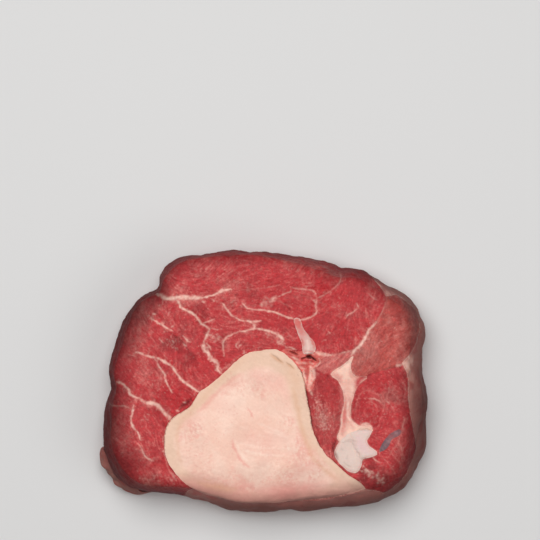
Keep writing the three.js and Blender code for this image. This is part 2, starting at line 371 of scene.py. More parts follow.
def between(table, row, column):
    """A table's values between two rows and two columns."""
    row = np.clip(row, 0, table.shape[0] - 1)
    column = np.clip(column, 0, table.shape[1] - 1)
    low = np.minimum(row.astype(int), table.shape[0] - 2)
    left = np.minimum(column.astype(int), table.shape[1] - 2)
    up, right = row - low, column - left
    near = table[low, left] * (1 - right) + table[low, left + 1] * right
    far = table[low + 1, left] * (1 - right) + table[low + 1, left + 1] * right
    return near * (1 - up) + far * up


def by_profile(table, turn, share):
    """A wall table's value in a direction and a share of the way down."""
    return between(np.vstack([table, table[:1]]), turn, share * (PROFILE_STEPS - 1))


def unrolled(points):
    """Places seen from above as places on the map."""
    points = np.asarray(points, float)
    turn = turned(points)
    reach = np.hypot(*points.T)
    first = np.round(turn).astype(int) % DIRECTIONS
    out = reach.copy()
    for i in np.nonzero(reach > by_direction(FACE_REACH, turn))[0]:
        way = PROFILE_R[first[i], :WIDEST_STEP[first[i]] + 1]
        share = np.interp(reach[i], way, np.arange(len(way))) / (PROFILE_STEPS - 1)
        out[i] = way[0] + share * WALL_LENGTH[first[i]]
    return points * (out / np.maximum(reach, TINY))[:, None]


def map_reach(turn):
    """How far the skin reaches on the map, down to the base, in each direction."""
    return by_direction(FACE_REACH, turn) + by_direction(WALL_LENGTH, turn)


def widest_share(turn):
    """How far down the wall it is widest, in each direction."""
    return by_direction(WIDEST_STEP.astype(float), turn) / (PROFILE_STEPS - 1)


def beyond_face(points):
    """How far a place on the map is past the face's edge, negative on the face."""
    return np.hypot(*points.T) - by_direction(FACE_REACH, turned(points))


def wall_share(points):
    """How far down the wall a place on the map is: 0 on the face, 1 at the base."""
    return np.clip(beyond_face(points) / by_direction(WALL_LENGTH, turned(points)), 0.0, 1.0)


def outline_inset(points):
    """How far inside the slice's outline, seen from above, a place on the map is."""
    turn = turned(points)
    share = wall_share(points)
    reach = np.where(share > 0, by_profile(PROFILE_R, turn, share), np.hypot(*points.T))
    return np.where(share > widest_share(turn), 0.0, by_direction(WIDEST_REACH, turn) - reach)


def on_skin(points):
    """The place in space and the outward direction of each place on the map."""
    turn = turned(points)
    share = wall_share(points)
    reach = np.hypot(*points.T)
    on_wall = share > 0
    r = np.where(on_wall, by_profile(PROFILE_R, turn, share), reach)
    z = np.where(on_wall, by_profile(PROFILE_Z, turn, share), FACE_Z)
    step = 1.0 / (PROFILE_STEPS - 1)
    dr = by_profile(PROFILE_R, turn, share + step) - by_profile(PROFILE_R, turn, share - step)
    dz = by_profile(PROFILE_Z, turn, share + step) - by_profile(PROFILE_Z, turn, share - step)
    size = np.maximum(np.hypot(dr, dz), TINY)
    out_r = np.where(on_wall, -dz / size, 0.0)
    out_z = np.where(on_wall, dr / size, 1.0)
    heading = points / np.maximum(reach, TINY)[:, None]
    places = np.column_stack([heading * r[:, None], z])
    normals = np.column_stack([heading * out_r[:, None], out_z])
    return places, normals


# The map and what is drawn on it

MAP_X = np.arange(-MAP_HALF[0], MAP_HALF[0], CELL)
MAP_Y = np.arange(-MAP_HALF[1], MAP_HALF[1], CELL)
MAP_SHAPE = (len(MAP_Y), len(MAP_X))
GRID_X, GRID_Y = np.meshgrid(MAP_X, MAP_Y)
MAP_POINTS = np.column_stack([GRID_X.ravel(), GRID_Y.ravel()])


def blank(value=0.0):
    """An even layer of the map."""
    return np.full(MAP_SHAPE, value)


def blurred(layer, reach):
    """A layer with every feature softened over a distance."""
    ky = np.fft.fftfreq(MAP_SHAPE[0], CELL)[:, None]
    kx = np.fft.rfftfreq(MAP_SHAPE[1], CELL)[None, :]
    keep = np.exp(-2 * (math.pi * reach) ** 2 * (kx ** 2 + ky ** 2))
    return np.fft.irfft2(np.fft.rfft2(layer) * keep, s=MAP_SHAPE)


def noise(seed, size):
    """Soft random blots of about a size, with mean 0 and spread 1."""
    field = blurred(np.random.default_rng(seed).standard_normal(MAP_SHAPE), size / BLOT_WIDTH)
    return (field - field.mean()) / field.std()


def read_map(layer, points):
    """A layer's values at places on the map."""
    return between(layer, (points[:, 1] + MAP_HALF[1]) / CELL, (points[:, 0] + MAP_HALF[0]) / CELL)


def cells_near(place, reach, axis):
    """The cells of the map within a reach of a place, along one axis."""
    first = int((place - reach + MAP_HALF[axis]) / CELL)
    last = int((place + reach + MAP_HALF[axis]) / CELL) + 2
    return slice(max(0, first), max(0, last))


def dab(layer, x, y, radius, strength, soft):
    """One soft round dab, where it is stronger than what is there."""
    reach = radius + soft
    columns, rows = cells_near(x, reach, 0), cells_near(y, reach, 1)
    away = np.hypot(MAP_X[columns][None, :] - x, MAP_Y[rows][:, None] - y)
    value = strength * np.clip((reach - away) / (2 * soft), 0.0, 1.0)
    block = layer[rows, columns]
    np.maximum(block, value, out=block)


def hairs_along(layer, path, along, width, strength, soft, share, draw):
    """Fine hairs that leave a stroke at random places, to either side."""
    sideways = np.column_stack([-along[:, 1], along[:, 0]])
    for at in np.nonzero(draw.random(len(path)) < share)[0]:
        way = sideways[at] * draw.choice((-1, 1)) + along[at] * draw.uniform(-HAIR_SLANT, HAIR_SLANT)
        way /= np.linalg.norm(way)
        for step in np.arange(0.0, draw.uniform(*HAIR_LENGTH), HAIR_STEP):
            x, y = path[at] + way * (HAIR_FROM * width + step)
            dab(layer, x, y, HAIR_RADIUS, strength * draw.uniform(*HAIR_STRENGTH), soft)


def stroke(layer, pixels, width, strength=1.0, soft=0.2, ragged=0.12, seed=0, hairs=0.0):
    """A line along pixels of the photograph, of uneven width, with a slight wander and fine hairs."""
    path = curve(unrolled(from_pixels(pixels)), STROKE_STEP)
    draw = np.random.default_rng(seed + len(pixels) * 7 + int(pixels[0][0]))
    along = unit(np.gradient(path, axis=0))
    number = np.arange(len(path))
    changes = np.arange(0, len(path) + 2 * CHANGE_EVERY, CHANGE_EVERY)
    wander = ragged * np.interp(number, changes, draw.standard_normal(len(changes)))
    swell = 1 + SWELL * np.interp(number, changes, draw.standard_normal(len(changes)))
    from_end = np.minimum(number, number[::-1]) * STROKE_STEP
    full = np.clip(from_end / (TAPER_WIDTHS * width + TAPER_MORE), 0.0, 1.0)
    taper = THIN_END + (1 - THIN_END) * full
    path = path + np.column_stack([-along[:, 1], along[:, 0]]) * wander[:, None]
    for (x, y), wide, near in zip(path, swell, taper):
        radius = max(LEAST_RADIUS, 0.5 * width * wide * near)
        dab(layer, x, y, radius, strength * (FAINT_END + (1 - FAINT_END) * near), soft)
    hairs_along(layer, path, along, width, strength, soft, HAIR_SHARE * hairs, draw)


def spots(layer, seed, count, inside, size, strength):
    """Small dabs strewn at random over part of the map."""
    draw = np.random.default_rng(seed)
    rows, columns = np.nonzero(inside)
    for pick in draw.integers(0, len(rows), count):
        radius = size * draw.uniform(*SPOT_SIZE)
        power = strength * draw.uniform(*UNEVEN)
        dab(layer, MAP_X[columns[pick]], MAP_Y[rows[pick]], radius, power, SPOT_SOFT)


def streaks(angle, seed, steps, width=0.0):
    """Random streaks that run along a field of directions, with mean 0 and spread 1."""
    grain = np.random.default_rng(seed).standard_normal(MAP_SHAPE)
    if width:
        grain = blurred(grain, width)
    step_x, step_y = np.cos(angle), np.sin(angle)
    total = grain.copy()
    for way in (1, -1):
        x, y = np.meshgrid(np.arange(MAP_SHAPE[1], dtype=float), np.arange(MAP_SHAPE[0], dtype=float))
        column, row = x.astype(int), y.astype(int)
        for _ in range(steps):
            x += way * step_x[row, column]
            y += way * step_y[row, column]
            column = np.clip(x, 0, MAP_SHAPE[1] - 1).astype(int)
            row = np.clip(y, 0, MAP_SHAPE[0] - 1).astype(int)
            total += grain[row, column]
    return (total - total.mean()) / total.std()


def filled(outline):
    """Which cells of the map lie inside a closed outline."""
    inside = np.zeros(MAP_SHAPE, bool)
    ends = np.roll(outline, -1, axis=0)
    for row, y in enumerate(MAP_Y):
        crossing = (outline[:, 1] > y) != (ends[:, 1] > y)
        if not crossing.any():
            continue
        a, b = outline[crossing], ends[crossing]
        x = np.sort(a[:, 0] + (y - a[:, 1]) / (b[:, 1] - a[:, 1]) * (b[:, 0] - a[:, 0]))
        for left, right in zip(x[::2], x[1::2]):
            inside[row] |= (MAP_X >= left) & (MAP_X < right)
    return inside


# The outlines of the pieces on the map

def smooth_outline(outline):
    """An outline drawn smoothly between its corners, as points an even step apart."""
    before = outline - np.roll(outline, 1, axis=0)
    after = np.roll(outline, -1, axis=0) - outline
    turn = np.arctan2(across(before, after), (before * after).sum(1))
    corners = np.nonzero(np.abs(turn) > math.radians(CORNER_DEG))[0]
    if len(corners) < 2:
        return curve(outline, EDGE_STEP, closed=True)
    outline = np.roll(outline, -corners[0], axis=0)
    corners = list(corners - corners[0]) + [len(outline)]
    closed = np.vstack([outline, outline[:1]])
    runs = [curve(closed[a:b + 1], EDGE_STEP)[:-1] for a, b in zip(corners, corners[1:])]
    return np.vstack(runs)


WANDER = [blurred(noise(seed, WANDER_SIZE), WANDER_BLUR) for seed in (1, 2)]
RIPPLE = [noise(seed, RIPPLE_SIZE) for seed in (3, 4)]


def wandering(outline):
    """An outline shifted a little by a field that neighbours share, so that they still meet."""
    shift = [WANDER_MM * read_map(slow, outline) + RIPPLE_MM * read_map(quick, outline)
             for slow, quick in zip(WANDER, RIPPLE)]
    return outline + np.column_stack(shift) * (wall_share(outline) < AT_BASE)[:, None]


def grown(outline, distance):
    """An outline moved outwards, or inwards for a hole, which runs the other way round."""
    onward = unit(np.roll(outline, -1, axis=0) - outline)
    along = onward + np.roll(onward, 1, axis=0)
    half = np.maximum(0.5 * np.linalg.norm(along, axis=1), SHARPEST)[:, None]
    return outline + np.column_stack([along[:, 1], -along[:, 0]]) * 0.5 * distance / half ** 2


def uncrossed(outline):
    """An outline without the small loops in which it crosses itself."""
    skip = 2
    while skip < LOOP_POINTS:
        ends = np.roll(outline, -1, axis=0)
        later, later_ends = np.roll(outline, -skip, axis=0), np.roll(ends, -skip, axis=0)
        run, later_run = ends - outline, later_ends - later
        apart = across(run, later - outline) * across(run, later_ends - outline) < 0
        around = across(later_run, outline - later) * across(later_run, ends - later) < 0
        crossed = np.nonzero(apart & around)[0]
        if len(crossed):
            outline = np.roll(outline, -crossed[0] - 1, axis=0)[skip:]
            skip = 2
        else:
            skip += 1
    return outline


def spaced(outline):
    """An outline without needle-thin spikes and without the points that crowd the one before."""
    for _ in range(SPACING_ROUNDS):
        before = outline - np.roll(outline, 1, axis=0)
        after = np.roll(outline, -1, axis=0) - outline
        size = np.linalg.norm(before, axis=1) * np.linalg.norm(after, axis=1)
        outline = outline[(before * after).sum(axis=1) > SPIKE * size]
        outline = outline[np.linalg.norm(outline - np.roll(outline, 1, axis=0), axis=1) > CROWDED]
    return outline


def signed_area(outline):
    """The area inside an outline, negative where it runs clockwise."""
    return 0.5 * across(outline, np.roll(outline, -1, axis=0)).sum()


def divided(outline, step):
    """A closed outline with its long stretches divided evenly."""
    runs = []
    for start, end in zip(outline, np.roll(outline, -1, axis=0)):
        count = max(1, int(np.linalg.norm(end - start) / step))
        runs.append(start + np.arange(count)[:, None] / count * (end - start))
    return np.vstack(runs)


def map_outlines(name):
    """A node's outlines on the map: the outer one anticlockwise, then any hole clockwise."""
    outlines = []
    wider = MUSCLE_GROWN if name in MUSCLES else OTHER_GROWN
    for number, outline in enumerate(level_outlines(name, WIDEST_Z)):
        if (signed_area(outline) > 0) != (number == 0):
            outline = outline[::-1]
        outline = uncrossed(grown(smooth_outline(outline), wider))
        turn = turned(outline)
        reach = np.hypot(*outline.T)
        at_wall = reach > by_direction(OUTERMOST, turn) - WALL_NEAR
        flat = unrolled(outline)
        flat[at_wall] = outline[at_wall] * (map_reach(turn) / reach)[at_wall][:, None]
        outlines.append(spaced(uncrossed(wandering(divided(flat, OUTLINE_STEP)))))
    return outlines


OUTLINES = {name: map_outlines(name) for name in SET_IN}
# The rim's hole takes the core's own outline, so that the two meet
OUTLINES["bone_wall"][1] = OUTLINES["bone_core"][0][::-1]
INSIDE = {name: filled(outlines[0]) for name, outlines in OUTLINES.items()}
BONE = INSIDE["bone_wall"]


def parts(names):
    """Which cells of the map lie inside any of some nodes."""
    return np.any([INSIDE[name] for name in names], axis=0)


FLESH = parts(MUSCLES) & ~BONE


# What the photograph shows, as lines and dabs at its pixels. A line is its width in millimetres,
# its strength and its pixels.

# Fat in the seams between the muscles, fat within them, and its small lumps
SEAM_FAT = [
    (1.5, 1.0, [(157, 294), (165, 298), (178, 298), (190, 297.5), (202, 298)]),
    (0.7, 0.9, [(202, 298), (214, 294.5), (222, 290.5), (232, 289.5)]),
    (0.3, 0.25, [(240, 290), (262, 288), (280, 285)]),
    (0.4, 0.55, [(290, 287), (300, 289), (311, 290), (315, 292.5), (316.5, 297)]),
    (0.4, 0.45, [(317, 298), (322, 296), (327, 293), (333, 289), (338, 284), (341, 278), (340, 272)]),
    (0.7, 0.6, [(317, 298), (316, 307), (316.5, 312), (314, 315.5), (306, 319), (298, 320)]),
    (0.75, 0.9, [(177, 300), (181, 307), (190, 312), (197, 317.5), (201, 323), (210, 329)]),
    (0.9, 0.9, [(210, 329), (206, 337), (203.7, 342)]),
    (1.15, 0.85, [(203.7, 341), (203.3, 347), (204.6, 351), (208.4, 353), (209.2, 357), (212.4, 359.6),
                  (216.2, 361.2), (218.2, 365), (216.8, 368.4), (218.8, 371), (221, 373.5)]),
    (0.6, 0.7, [(206, 343), (209, 346), (211, 350)]),
    (0.7, 0.75, [(134, 354), (138, 352.5), (148, 356), (157, 358)]),
    (1.0, 0.95, [(157, 358), (165, 362), (172, 366)]),
    (0.8, 0.85, [(172, 366), (177, 374), (183, 381), (190, 386.5), (198, 391.5), (201, 392)]),
    (0.75, 0.8, [(116, 382), (122, 383.5), (129, 390), (130, 394), (139, 398.5)]),
    (1.3, 0.9, [(139, 398.5), (147, 403), (155, 403.5), (162, 410), (168, 416.5), (171, 421)]),
    (0.9, 0.95, [(351, 355), (355, 350), (360, 346), (366, 336), (370, 329), (376, 322)]),
    (0.3, 0.3, [(376, 322), (382, 312), (385, 304), (386, 297), (386, 290)]),
    (0.5, 0.6, [(330, 355.5), (337, 354.5), (343, 353), (351, 350.5)]),
    (1.3, 0.7, [(397, 365.8), (402, 364.6), (407, 362)]),
    (3.0, 0.6, [(405, 364), (411, 361.8), (415, 360)]),
    (1.4, 0.7, [(408, 366), (410, 369), (411, 373)]),
]
MARBLING = [
    (0.5, 0.7, [(203, 323), (208, 321.5), (215, 319)]),
    (0.45, 0.6, [(211, 328), (216, 329.5), (222, 329)]),
    (0.6, 0.7, [(150, 318), (157, 322), (162, 325), (170, 329.5), (173, 331)]),
    (0.6, 0.7, [(183, 336), (188, 341), (191, 342)]),
    (0.6, 0.7, [(159, 339), (161, 341), (163.5, 343)]),
    (0.55, 0.75, [(155, 359), (157, 362), (159, 367), (165, 375), (165, 379), (169, 387), (172.5, 392.5)]),
    (0.5, 0.6, [(164, 355), (166, 357), (168, 359)]),
    (0.65, 0.85, [(134, 405), (132, 413), (131, 418), (133, 427), (138, 433), (140, 440)]),
    (0.6, 0.75, [(138, 443), (142, 450), (144, 455), (150, 460), (154, 461)]),
    (0.4, 0.5, [(107, 402.5), (118, 406), (126, 407), (133, 409.5)]),
    (0.35, 0.3, [(113, 426), (116, 422), (118, 420)]),
    (0.4, 0.25, [(123, 450), (122, 453), (121, 455)]),
    (0.7, 0.85, [(222, 303), (225, 306.5), (228, 311), (232, 315), (236, 318), (241, 320.5), (247, 321),
                 (252, 322), (261, 320.5)]),
    (1.2, 0.9, [(254, 322), (254.5, 325), (254, 328)]),
    (0.55, 0.75, [(257, 328.5), (250, 329.5), (245, 331), (238, 332), (229, 336.5), (226, 338), (224, 341),
                  (223, 346), (224, 356)]),
    (0.85, 0.9, [(257, 328.5), (262, 329.5), (267, 331), (272, 332), (279, 335.5), (284, 340)]),
    (0.55, 0.75, [(242, 303), (246, 307), (250, 309), (263, 310), (275, 312.5), (286, 316.5), (294, 319)]),
    (0.3, 0.4, [(316.5, 294), (314, 292), (311, 290)]),
    (0.45, 0.6, [(278, 297), (286, 293), (290, 291.5), (291, 289)]),
    (0.3, 0.25, [(279, 299), (283, 303), (293, 308)]),
    (0.5, 0.35, [(230, 303), (233, 301), (236, 300.5)]),
    (0.45, 0.5, [(238, 342), (236, 346), (239, 349)]),
    (0.4, 0.6, [(357, 303), (358, 308), (354, 311), (350, 314), (346, 317.5)]),
    (0.35, 0.35, [(368, 293), (372, 297), (378, 300)]),
    (0.3, 0.6, [(368, 398.5), (374, 398.5), (378, 400), (381, 402)]),
    (0.3, 0.5, [(385, 400), (388, 402), (390, 404)]),
    (0.35, 0.3, [(402, 430), (404, 422), (405, 416)]),
    (3.1, 1.0, [(262.4, 304.8), (266.2, 302.5)]),
    (3.3, 1.0, [(270.8, 301.1), (275.2, 298.5)]),
    (0.4, 0.4, [(380, 450), (379.5, 453), (379, 456)]),
    (0.7, 0.8, [(343, 408), (341.5, 418), (341, 426), (339, 434)]),
    (0.8, 0.9, [(349, 400), (347.5, 410), (348.5, 417), (351, 422), (357, 428)]),
    (1.1, 0.9, [(358, 427.5), (364, 424.5), (369, 425), (372, 428)]),
    (0.6, 0.5, [(372, 457), (377, 461), (381, 463)]),
    (0.35, 0.35, [(357, 470), (372, 474), (386, 484)]),
    (0.3, 0.3, [(381, 455), (390, 466), (396, 476)]),
    (0.3, 0.3, [(388, 449), (398, 461), (403, 470)]),
]
FAT_SPOTS = [
    (1.3, 0.6, [(213, 301), (204, 301)]),
    (0.9, 0.85, [(154, 314), (163, 323), (172.5, 326.5), (185, 346)]),
    (0.9, 0.6, [(205, 352)]),
    (0.7, 0.7, [(329, 333), (325, 340), (163.5, 450.5), (173, 342), (176, 348)]),
    (1.0, 0.3, [(154, 476), (146, 484), (159, 484), (171, 480), (150, 480)]),
    (0.6, 0.45, [(145, 417), (148, 415), (142, 419), (147, 420)]),
    (1.0, 0.5, [(209, 335), (212, 338), (215, 341), (220, 339), (223, 341)]),
    (1.5, 0.85, [(366, 471)]),
    (0.9, 0.85, [(369, 475), (379, 480), (383, 482), (372, 471)]),
    (0.9, 0.5, [(315.5, 303), (316, 306), (314.5, 300)]),
    (0.9, 0.75, [(167, 450), (196, 478), (188, 469)]),
    (1.1, 0.6, [(277, 334), (282, 338), (280, 343), (286, 347), (290, 349)]),
    (1.1, 0.95, [(178, 411), (184.5, 402)]),
]
# Strewn flecks: where from and to, how far round, how many, their size in millimetres and strength
FLECKS = [
    ((170, 341), (178, 350), 5, 16, 0.22, 0.65),
    ((316, 398), (326, 430), 6, 170, 0.15, 0.85),
    ((363, 470), (371, 475), 5, 12, 0.5, 0.9),
    ((373, 475), (385, 481), 5, 9, 0.5, 0.85),
    ((360, 468), (390, 484), 8, 36, 0.2, 0.7),
    ((209, 333), (223, 342), 5, 26, 0.24, 0.6),
    ((240, 345), (247, 356), 4, 18, 0.24, 0.7),
    ((268, 334), (285, 344), 4, 26, 0.25, 0.7),
    ((235, 340), (262, 352), 6, 34, 0.16, 0.5),
    ((149, 314), (154, 319), 3, 12, 0.22, 0.55),
    ((140, 365), (160, 395), 12, 60, 0.14, 0.45),
    ((112, 420), (125, 455), 10, 40, 0.14, 0.35),
    ((140, 478), (170, 486), 8, 50, 0.2, 0.4),
    ((215, 300), (240, 303), 4, 20, 0.2, 0.4),
    ((360, 395), (385, 420), 12, 50, 0.15, 0.45),
    ((388, 385), (398, 410), 6, 40, 0.15, 0.45),
    ((155, 310), (200, 350), 15, 60, 0.14, 0.5),
    ((236, 284), (262, 296), 8, 40, 0.14, 0.4),
    ((188, 468), (199, 480), 3, 14, 0.2, 0.7),
    ((166, 450), (172, 458), 2, 6, 0.2, 0.6),
    ((330, 296), (350, 325), 12, 40, 0.14, 0.4),
    ((204, 344), (208, 352), 2.2, 16, 0.34, 0.85),
    ((208, 352), (212, 361), 2.2, 16, 0.34, 0.85),
    ((212, 361), (220, 373), 2.2, 20, 0.34, 0.85),
]
# Bands of paler flesh
PALE_LINES = [
    (4.5, 0.4, [(132, 402), (137, 402), (141, 404)]),
    (3.2, 0.4, [(160, 297), (175, 300), (190, 301), (203, 302)]),
    (3.0, 0.45, [(206, 333), (211, 337), (219, 340)]),
    (3.0, 0.35, [(268, 334), (276, 339), (283, 344)]),
    (2.6, 0.45, [(143, 400), (152, 404), (161, 410), (168, 417)]),
    (3.0, 0.6, [(334, 374), (340, 383), (344, 394), (344, 404), (342, 418)]),
    (2.4, 0.45, [(354, 385), (349, 395), (348, 408)]),
    (2.0, 0.4, [(300, 377), (311, 388), (313, 396)]),
    (1.2, 0.4, [(404, 416), (402, 430), (390, 440), (381, 450)]),
    (1.7, 0.55, [(407.3, 415), (405.5, 421), (403, 429)]),
    (0.5, 0.45, [(356, 405), (357, 398), (363, 392), (372, 391), (380, 396), (384, 405), (382, 415)]),
    (0.5, 0.4, [(362, 409), (364, 403), (370, 402), (376, 406), (377, 413), (372, 419)]),
    (0.5, 0.4, [(391, 380), (388, 390), (389, 402), (394, 411)]),
    (0.5, 0.4, [(401, 378), (405, 390), (404, 405)]),
    (0.6, 0.35, [(376, 470), (389, 457), (397, 444), (402, 430)]),
    (0.6, 0.3, [(385, 474), (398, 460), (405, 445)]),
    (2.2, 0.4, [(318, 354), (326, 355), (334, 354)]),
    (1.6, 0.7, [(222, 371), (230, 364), (240, 356)]),
    (0.7, 0.9, [(172, 419), (166, 429), (163.6, 440), (164.6, 455), (168.7, 468), (176, 481)]),
    (2.4, 0.6, [(275, 334), (280, 339), (283, 345)]),
]
# Soft areas of the flesh, hazed with fat, dull or bright red: centre, radius in pixels and strength
HAZE = [
    (150, 380, 22, 0.32), (118, 438, 20, 0.26), (152, 480, 22, 0.34), (393, 395, 15, 0.7),
    (250, 291, 17, 0.14), (198, 311, 13, 0.18), (240, 276, 26, 0.14), (168, 345, 11, 0.1),
    (280, 338, 9, 0.4), (322, 416, 14, 0.3), (345, 318, 14, 0.15), (372, 478, 14, 0.12),
    (350, 362, 14, 0.2), (190, 330, 12, 0.2), (130, 340, 18, 0.22), (225, 345, 10, 0.15),
    (400, 460, 14, 0.12), (366, 353, 17, 0.62), (395, 350, 12, 0.2), (148, 426, 11, 0.25),
    (382, 470, 12, 0.35), (395, 440, 12, 0.4), (150, 340, 9, 0.2), (190, 281, 12, 0.2),
]
DULL = [
    (198, 312, 11, 0.3), (250, 293, 11, 0.1), (172, 344, 10, 0.38), (190, 358, 9, 0.35),
    (321, 418, 13, 0.12), (373, 478, 16, 0.38), (391, 395, 11, 0.2), (186, 324, 8, 0.2),
    (222, 341, 9, 0.2), (290, 352, 8, 0.25), (152, 483, 14, 0.2), (310, 332, 8, 0.15),
    (265, 340, 10, 0.12), (133, 462, 18, 0.2), (404, 322, 12, 0.14), (335, 330, 9, 0.08),
    (417, 400, 8, 0.2), (419, 415, 8, 0.18),
]
BRIGHT = [
    (177, 400, 18, 0.6), (178, 432, 14, 0.6), (168, 466, 16, 0.4), (210, 286, 12, 0.15),
    (283, 302, 16, 0.4), (322, 312, 18, 0.45), (318, 340, 12, 0.5), (325, 382, 12, 0.5),
    (370, 412, 14, 0.45), (378, 388, 10, 0.3), (345, 337, 14, 0.35), (212, 362, 12, 0.5),
    (240, 310, 16, 0.35), (358, 300, 18, 0.3), (160, 365, 10, 0.35), (335, 440, 14, 0.4),
    (270, 345, 12, 0.25), (200, 375, 14, 0.4), (402, 315, 16, 0.5), (322, 282, 18, 0.8),
    (395, 312, 20, 0.7), (385, 335, 14, 0.4), (345, 275, 12, 0.4), (262, 345, 14, 0.4),
    (352, 330, 14, 0.4), (225, 352, 12, 0.3), (128, 372, 12, 0.3), (305, 277, 13, 0.8),
    (335, 330, 10, 0.7), (365, 320, 9, 0.6), (175, 311, 9, 0.4), (235, 312, 8, 0.4),
]
# Creases and lines of painted shade, which are also sunk
SHADED_CREASES = [
    (0.5, 0.5, [(362, 378), (370, 375.5), (378, 371.5), (388, 368.5), (396, 366)]),
    (1.0, 0.8, [(335.5, 439), (334, 446), (334.5, 453), (337, 459)]),
    (0.45, 0.6, [(357, 430.5), (362, 429.5), (367, 429), (371, 430.5)]),
    (0.5, 0.75, [(304.5, 386), (307, 398), (310.5, 415), (313, 427), (317, 437), (321, 449)]),
    (0.35, 0.45, [(321, 449), (330, 458.5), (340, 466), (347, 471.5)]),
    (0.8, 0.45, [(417, 374), (420.5, 387), (422, 400), (422.6, 412), (421.5, 424), (420, 435), (416, 446)]),
    (0.5, 0.3, [(155, 311), (160, 317), (168, 322)]),
    (0.8, 0.35, [(350, 305), (352, 313), (347, 322)]),
    (1.3, 0.85, [(180, 409), (187, 403), (192, 398)]),
    (0.35, 0.4, [(351, 357), (346, 363), (338, 370)]),
    (0.45, 0.25, [(311, 368), (317, 371), (324, 373.5), (332, 375.5)]),
    (1.6, 0.55, [(305.8, 371.5), (306.2, 376)]),
    (0.7, 0.3, [(357, 456), (365, 459), (372, 460)]),
    (0.5, 0.5, [(163, 330), (171, 334), (178, 338), (186, 345), (190, 352)]),
    (0.5, 0.35, [(390, 376), (398, 381), (403, 390), (402, 402)]),
    (0.4, 0.35, [(382, 372), (392, 374), (400, 380)]),
    (0.5, 0.5, [(338, 378), (339, 381)]),
    (0.5, 0.4, [(283, 301), (287, 306), (292, 311)]),
    (0.4, 0.3, [(256, 303), (268, 306), (280, 308)]),
    (0.6, 0.35, [(228, 352), (238, 350), (252, 348)]),
]
# Pits, sunk and painted with shade: width in millimetres, strength and pixels
HOLES = [
    (0.35, 0.8, [(301.6, 358.8), (304.5, 358), (307, 357)]),
    (0.6, 1.0, [(310, 356.5), (312.8, 358.3), (315.8, 360.4)]),
    (3.4, 1.0, [(307.4, 356.6), (310, 356.9)]),
    (0.8, 0.5, [(290, 351.6), (293.5, 353), (297, 354.6)]),
]
# The cut vessels' cream walls, and the blood round them
VESSEL_CREAM = [
    (2.8, 1.0, [(316.5, 352.5), (320, 354), (324, 354.3)]),
    (1.4, 0.85, [(321, 354.5), (331, 355.2)]),
    (1.8, 0.75, [(296.5, 361.5), (300.5, 363.3)]),
    (1.8, 0.7, [(302.5, 362.8), (306.5, 364.2)]),
    (1.7, 0.65, [(299, 367), (304, 368.8)]),
    (1.6, 0.65, [(309.5, 362.5), (313.5, 364.5)]),
    (0.7, 0.7, [(304, 353.8), (307, 352.4), (311, 352.6), (315, 355)]),
    (0.7, 0.75, [(318.5, 358), (320.3, 361.5), (317.5, 365), (313.5, 367.3)]),
    (1.2, 0.95, [(303.8, 370), (304.2, 377), (305.3, 385)]),
    (2.7, 1.0, [(310.5, 367.3), (312.4, 371.5), (312, 376.5), (310, 382), (308.7, 388)]),
    (1.4, 0.7, [(308.7, 387), (310, 391), (312.5, 395)]),
    (0.9, 0.7, [(291, 356.5), (296, 358.5), (300, 360.5)]),
    (0.7, 0.75, [(286, 347), (290, 347.6), (296, 349.6)]),
]
VESSEL_BLOOD = [
    (1.2, 0.8, [(298, 357), (301, 359), (304, 360.5), (309, 361), (315, 362.5)]),
    (1.0, 0.7, [(288, 354), (292, 356), (297, 360), (300, 365)]),
    (0.8, 0.7, [(306, 366), (309, 368), (313, 367)]),
    (0.9, 0.6, [(317, 357), (320, 362), (318, 366), (313, 370)]),
    (0.7, 0.5, [(302, 352), (306, 352.8), (311, 352.5)]),
    (0.6, 0.6, [(283, 349), (288, 351), (293, 351.5)]),
    (1.0, 0.7, [(337, 377), (339, 381), (342, 384)]),
    (0.8, 0.5, [(340, 392), (343, 400), (343, 408)]),
    (0.9, 0.9, [(311, 369), (317, 372), (324, 374.5), (332, 376.5)]),
]
